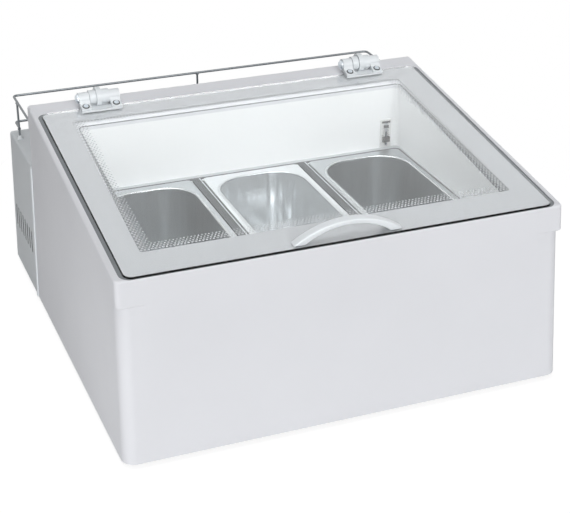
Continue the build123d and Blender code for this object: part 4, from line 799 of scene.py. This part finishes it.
# %% Graduations and clips
card_low, card_high = node_box("thermometer_plate")
CARD_X, CARD_FACE, CARD_LOW = (card_low[0] + card_high[0]) / 2, card_low[1], card_low[2]
LINE_FIRST, LINE_END, LINE_STEP, LINES_PER_LONG = 0.0105, 0.0400, 0.0024, 5
LINE_GAP, LINE_LONG, LINE_SHORT, LINE_HALF, LINE_THICK = 0.0032, 0.0042, 0.0026, 0.0003, 0.00015
# Half width, reach off the card, and lowest and highest point above its foot.
CLIPS = [
    (0.0075, 0.0008, 0.0445, 0.0478),
    (0.0034, 0.0042, 0.0370, 0.0405),
    (0.0060, 0.0044, 0.0110, 0.0200),
]


def on_card(left, right, reach, low, high):
    """Boxes that stand on the card, from arrays of their sides, thickness, and heights above its foot."""
    left, right, reach, low, high = np.broadcast_arrays(left, right, reach, low, high)
    lows = np.column_stack([CARD_X + left, CARD_FACE - reach, CARD_LOW + low])
    highs = np.column_stack([CARD_X + right, np.full(len(left), CARD_FACE), CARD_LOW + high])
    return blocks(lows, highs)


line_z = np.arange(LINE_FIRST, LINE_END, LINE_STEP)
line_length = np.where(np.arange(len(line_z)) % LINES_PER_LONG == 0, LINE_LONG, LINE_SHORT)
line_start, line_stop = np.full(len(line_z), LINE_GAP), LINE_GAP + line_length
line_left, line_right = np.append(-line_stop, line_start), np.append(-line_start, line_stop)
line_middle = np.tile(line_z, 2)
marks = on_card(line_left, line_right, LINE_THICK, line_middle - LINE_HALF, line_middle + LINE_HALF)
new_piece("thermometer_lines", *marks, mark_dark, "case", "thermometer_card")
clip_half, clip_reach, clip_low, clip_high = np.array(CLIPS).T
clips = on_card(-clip_half, clip_half, clip_reach, clip_low, clip_high)
new_piece("thermometer_clips", *clips, mark_dark, "case", "thermometer_card")

# %% Liquid
tube_low, tube_high = node_box("thermometer_tube")
TUBE_Y = (tube_low[1] + tube_high[1]) / 2
# Radius and height above the card's foot.
LIQUID_PROFILE = [
    (0.0001, 0.0058),
    (0.0011, 0.0062),
    (0.0014, 0.0074),
    (0.0011, 0.0090),
    (0.0007, 0.0098),
    (0.0007, 0.0294),
    (0.0001, 0.0298),
]


def turned(profile, places, axes=np.eye(3), steps=16):
    """Closed profile of (radius, height) points turned round an axis, at each of the places.

    The rows of axes are the directions of the zero angle, the quarter turn and the height.
    """
    angle = np.linspace(0, 2 * np.pi, steps, endpoint=False)[:, None]
    radius, height = np.array(profile).T
    local = np.stack(np.broadcast_arrays(np.cos(angle) * radius, np.sin(angle) * radius, height), -1)
    points = np.reshape(places, (-1, 1, 1, 3)) + local @ axes
    first = steps * len(profile) * np.arange(len(points))[:, None, None]
    return points, (first + np.array(ring_faces(steps, len(profile)))).reshape(-1, 4).tolist()


liquid = turned(LIQUID_PROFILE, [(CARD_X, TUBE_Y, CARD_LOW)])
new_piece("thermometer_liquid", *liquid, spirit_blue, "case", "thermometer_glass", smooth=True)

# %% [markdown]
# ## Small fittings
# Dark rings round the hinge screws are painted shade where the screws sink into the leaves, foot
# collars and weld rings sit on the rail, and dark mats behind the louvres are painted shade inside
# the housing, which is what makes the slots read as holes. The rings, collars and welds are round,
# so each is a small profile turned round its screw or its wire. The mat follows the leaning wall of
# the housing, so it is a thin sheet between two grids of points.

# %% Painted shade rings round the hinge screws
# Places of the screws, and the tilt of the pads they sit on against the lid.
HINGE_X, SCREW_SPREAD, PAD_ALONG, PAD_ABOVE, PAD_TILT = 0.2271, 0.02465, -0.0469, 0.0095, radians(14)
SCREW_SHADE_STEPS = 28
SCREW_SHADE_PROFILE = [(0.0057, 0.00002), (0.0055, 0.00040), (0.0043, 0.00040), (0.0042, 0.00002)]
screw_x = np.add.outer([-HINGE_X, HINGE_X], [-SCREW_SPREAD, SCREW_SPREAD]).ravel()
pad_lean = SLOPE + PAD_TILT
pad_axes = np.array([[1, 0, 0], [0, cos(pad_lean), sin(pad_lean)], [0, -sin(pad_lean), cos(pad_lean)]])
screw_shade_rings = turned(SCREW_SHADE_PROFILE, on_lid(screw_x, PAD_ALONG, PAD_ABOVE), pad_axes, SCREW_SHADE_STEPS)
new_piece("hinge_screw_shade_rings", *screw_shade_rings, rubber_black_and_shade, "lid", "black_rubber")

# %% Collars and weld rings of the rail
RAIL_X, RAIL_Y, POST_Y, COLLAR_LIFT = 0.32794, 0.344, 0.314, 0.00002
HOUSING_TOP = node_box("rear_housing")[1][2]
WELD_LEVELS = (0.2606, 0.3071)
COLLAR = [
    (0.0019, 0.0),
    (0.0056, 0.0),
    (0.0056, 0.0012),
    (0.0034, 0.0026),
    (0.0030, 0.0060),
    (0.0019, 0.0064),
]
WELD = [(0.0016, -0.0014), (0.0026, -0.0010), (0.0029, 0.0), (0.0026, 0.0010), (0.0016, 0.0014)]
posts = ((-RAIL_X, POST_Y), (0.0, RAIL_Y), (RAIL_X, POST_Y))
collars = turned(COLLAR, [(x, y, HOUSING_TOP + COLLAR_LIFT) for x, y in posts])
new_piece("rail_collars", *collars, fitting_white, "case", "white_fittings", smooth=True)
welds = turned(WELD, [(x, y, level) for x, y in posts for level in WELD_LEVELS])
new_piece("rail_welds", *welds, rail_zinc, "case", "bright_wire", smooth=True)

# %% Dark mats behind the louvres, painted shade
MAT_LOW, MAT_HIGH, MAT_FRONT, MAT_REAR = 0.068, 0.122, 0.2080, 0.3387
SHEET_THICK, MAT_GAP, MAT_THICK, MAT_COLUMNS, MAT_ROWS = 0.0015, 0.0003, 0.0020, 14, 6


def closed_sheet(front, back):
    """Closed skin from two grids of points of the same size: both grids, and the band between them."""
    rows, columns = front.shape[:2]
    index = np.arange(rows * columns).reshape(rows, columns)
    quads = np.stack([index[:-1, :-1], index[:-1, 1:], index[1:, 1:], index[1:, :-1]], -1).reshape(-1, 4)
    loop = np.concatenate([index[0, :-1], index[:-1, -1], index[-1, :0:-1], index[:0:-1, 0]])
    ahead = np.roll(loop, -1)
    total = rows * columns
    band = np.stack([ahead, loop, loop + total, ahead + total], -1)
    faces = np.concatenate([quads, quads[:, ::-1] + total, band])
    return np.concatenate([front.reshape(-1, 3), back.reshape(-1, 3)]), faces.tolist()


mat_y, mat_z = np.meshgrid(
    np.linspace(MAT_FRONT, MAT_REAR, MAT_COLUMNS), np.linspace(MAT_LOW, MAT_HIGH, MAT_ROWS)
)
mat_x = side_wall(mat_z) - SHEET_THICK - MAT_GAP
mat_points, mat_faces = closed_sheet(
    np.stack([mat_x, mat_y, mat_z], -1), np.stack([mat_x - MAT_THICK, mat_y, mat_z], -1)
)
# The left mat mirrors the right one, and a mirrored face is turned round to look outwards again.
both_points = np.concatenate([mat_points, mat_points * [-1, 1, 1]])
both_faces = mat_faces + (np.array(mat_faces)[:, ::-1] + len(mat_points)).tolist()
new_piece("louvre_shade_mats", both_points, both_faces, louvre_shade_dark, "case", "black_rubber")

# %% [markdown]
# ## Front fairing
# At the front the rim's skirt runs into the shell without a step, and the step shows only at
# the corners and along the sides. A thin wedge on the shell below the skirt fills it: as thick
# as the skirt at its top, and nothing at its foot and towards the corners. A grid whose
# thickness is a product of two smooth steps leaves no edge that light could catch.

# %% Wedge below the skirt
FRONT_Y, FRONT_LEAN, SKIRT_REACH = shell_low[1], tan(radians(4.5)), 0.00205
FAIRING_TOP, FAIRING_FULL, FAIRING_FOOT = 0.2462, 0.2430, 0.160
FAIRING_HALF, FAIRING_EASE, FAIRING_SINK, FAIRING_SEAT = 0.3160, 0.0240, 0.00003, 0.0004
FAIRING_COLUMNS, FAIRING_ROWS = 106, 24


def eased(share):
    """Smooth step from 0 to 1: half a cosine wave."""
    return 0.5 - 0.5 * np.cos(np.pi * np.clip(share, 0, 1))


wedge_x, wedge_z = np.meshgrid(
    np.linspace(-FAIRING_HALF, FAIRING_HALF, FAIRING_COLUMNS),
    np.linspace(FAIRING_FOOT, FAIRING_TOP, FAIRING_ROWS),
)
wedge_rise = eased((wedge_z - FAIRING_FOOT) / (FAIRING_FULL - FAIRING_FOOT))
wedge_ease = eased((FAIRING_HALF - np.abs(wedge_x)) / FAIRING_EASE)
wedge_thick = SKIRT_REACH * wedge_rise * wedge_ease - FAIRING_SINK
shell_front = FRONT_Y + FRONT_LEAN * (wedge_z - BOTTOM_Z)
wedge_front = np.stack([wedge_x, shell_front - wedge_thick, wedge_z], -1)
wedge_back = np.stack([wedge_x, shell_front + FAIRING_SEAT, wedge_z], -1)
new_piece("front_fairing", *closed_sheet(wedge_front, wedge_back), shell_white, "case", "white_shell")

# %% [markdown]
# ## Marks of the controls
# The rear panel has a thermostat knob and a mains switch. The knob gets a white pointer in its
# recess and a ring of graduations that grow as it turns, and the rocker the usual line and ring
# for on and off. Flat marks could be painted by a material, but thin solids also ride with the
# knob and the rocker when these move.

# %% Pointer and graduations of the knob
knob_low, knob_high = node_box("thermostat_knob")
KNOB_X, KNOB_FACE, KNOB_Z = (knob_low[0] + knob_high[0]) / 2, knob_high[1], (knob_low[2] + knob_high[2]) / 2
PANEL_Y = node_box("rear_panel")[1][1]
POINTER_HALF, POINTER_LOW, POINTER_HIGH = 0.00078, 0.0038, 0.0112
POINTER_BACK, POINTER_FACE = 0.0015, 0.0003
DIAL_MARKS, DIAL_TURN, DIAL_INNER, DIAL_OUTER = 8, radians(270), 0.0175, 0.0205
DIAL_THIN, DIAL_THICK, DIAL_RELIEF = 0.0004, 0.0013, 0.0002
pointer = blocks(
    [(KNOB_X - POINTER_HALF, KNOB_FACE - POINTER_BACK, KNOB_Z + POINTER_LOW)],
    [(KNOB_X + POINTER_HALF, KNOB_FACE - POINTER_FACE, KNOB_Z + POINTER_HIGH)],
)
new_piece("knob_pointer", *pointer, mark_white, "knob", "white_fittings")

dial_angle = np.linspace(0, DIAL_TURN, DIAL_MARKS)[:, None]
dial_side = np.linspace(DIAL_THIN, DIAL_THICK, DIAL_MARKS)[:, None] * [-1, 1, 1, -1]
dial_reach = np.array([DIAL_INNER, DIAL_INNER, DIAL_OUTER, DIAL_OUTER])
dial_x = KNOB_X + dial_side * np.cos(dial_angle) + dial_reach * np.sin(dial_angle)
dial_z = KNOB_Z - dial_side * np.sin(dial_angle) + dial_reach * np.cos(dial_angle)
dial_tops = np.stack([dial_x, np.full(dial_x.shape, PANEL_Y + DIAL_RELIEF), dial_z], -1)
dial_lows = np.stack([dial_x, np.full(dial_x.shape, PANEL_Y), dial_z], -1)
new_piece("dial_graduations", *prisms(dial_tops, dial_lows), mark_dark, "case", "black_plastic")

# %% Ring and line of the rocker
# Middles of the rocker's two halves at rest: the pressed one is upright, and the raised one leans out.
PRESSED_PLACE, RAISED_PLACE, RAISED_TILT = (0.0, 0.344456, 0.15182), (0.0, 0.34599, 0.16271), radians(16)
SIGN_LIFT, SIGN_RELIEF, RING_OUTER, RING_INNER = 0.00002, 0.00020, 0.0027, 0.0019
ON_HALF, ON_REACH, RING_STEPS = 0.0005, 0.0030, 24
OFF_PROFILE = [
    (RING_OUTER, SIGN_LIFT),
    (RING_OUTER, SIGN_RELIEF),
    (RING_INNER, SIGN_RELIEF),
    (RING_INNER, SIGN_LIFT),
]
PANEL_AXES = np.array([[1, 0, 0], [0, 0, 1], [0, 1, 0]])
off_ring = turned(OFF_PROFILE, [PRESSED_PLACE], PANEL_AXES, RING_STEPS)
new_piece("rocker_off_ring", *off_ring, mark_white, "rocker", "white_fittings")
on_local, on_faces = blocks([(-ON_HALF, SIGN_LIFT, -ON_REACH)], [(ON_HALF, SIGN_RELIEF, ON_REACH)])
out_axis, up_axis = (0, cos(RAISED_TILT), -sin(RAISED_TILT)), (0, sin(RAISED_TILT), cos(RAISED_TILT))
on_points = np.array(RAISED_PLACE) + on_local @ np.array([(1, 0, 0), out_axis, up_axis])
new_piece("rocker_on_line", on_points, on_faces, mark_white, "rocker", "white_fittings")
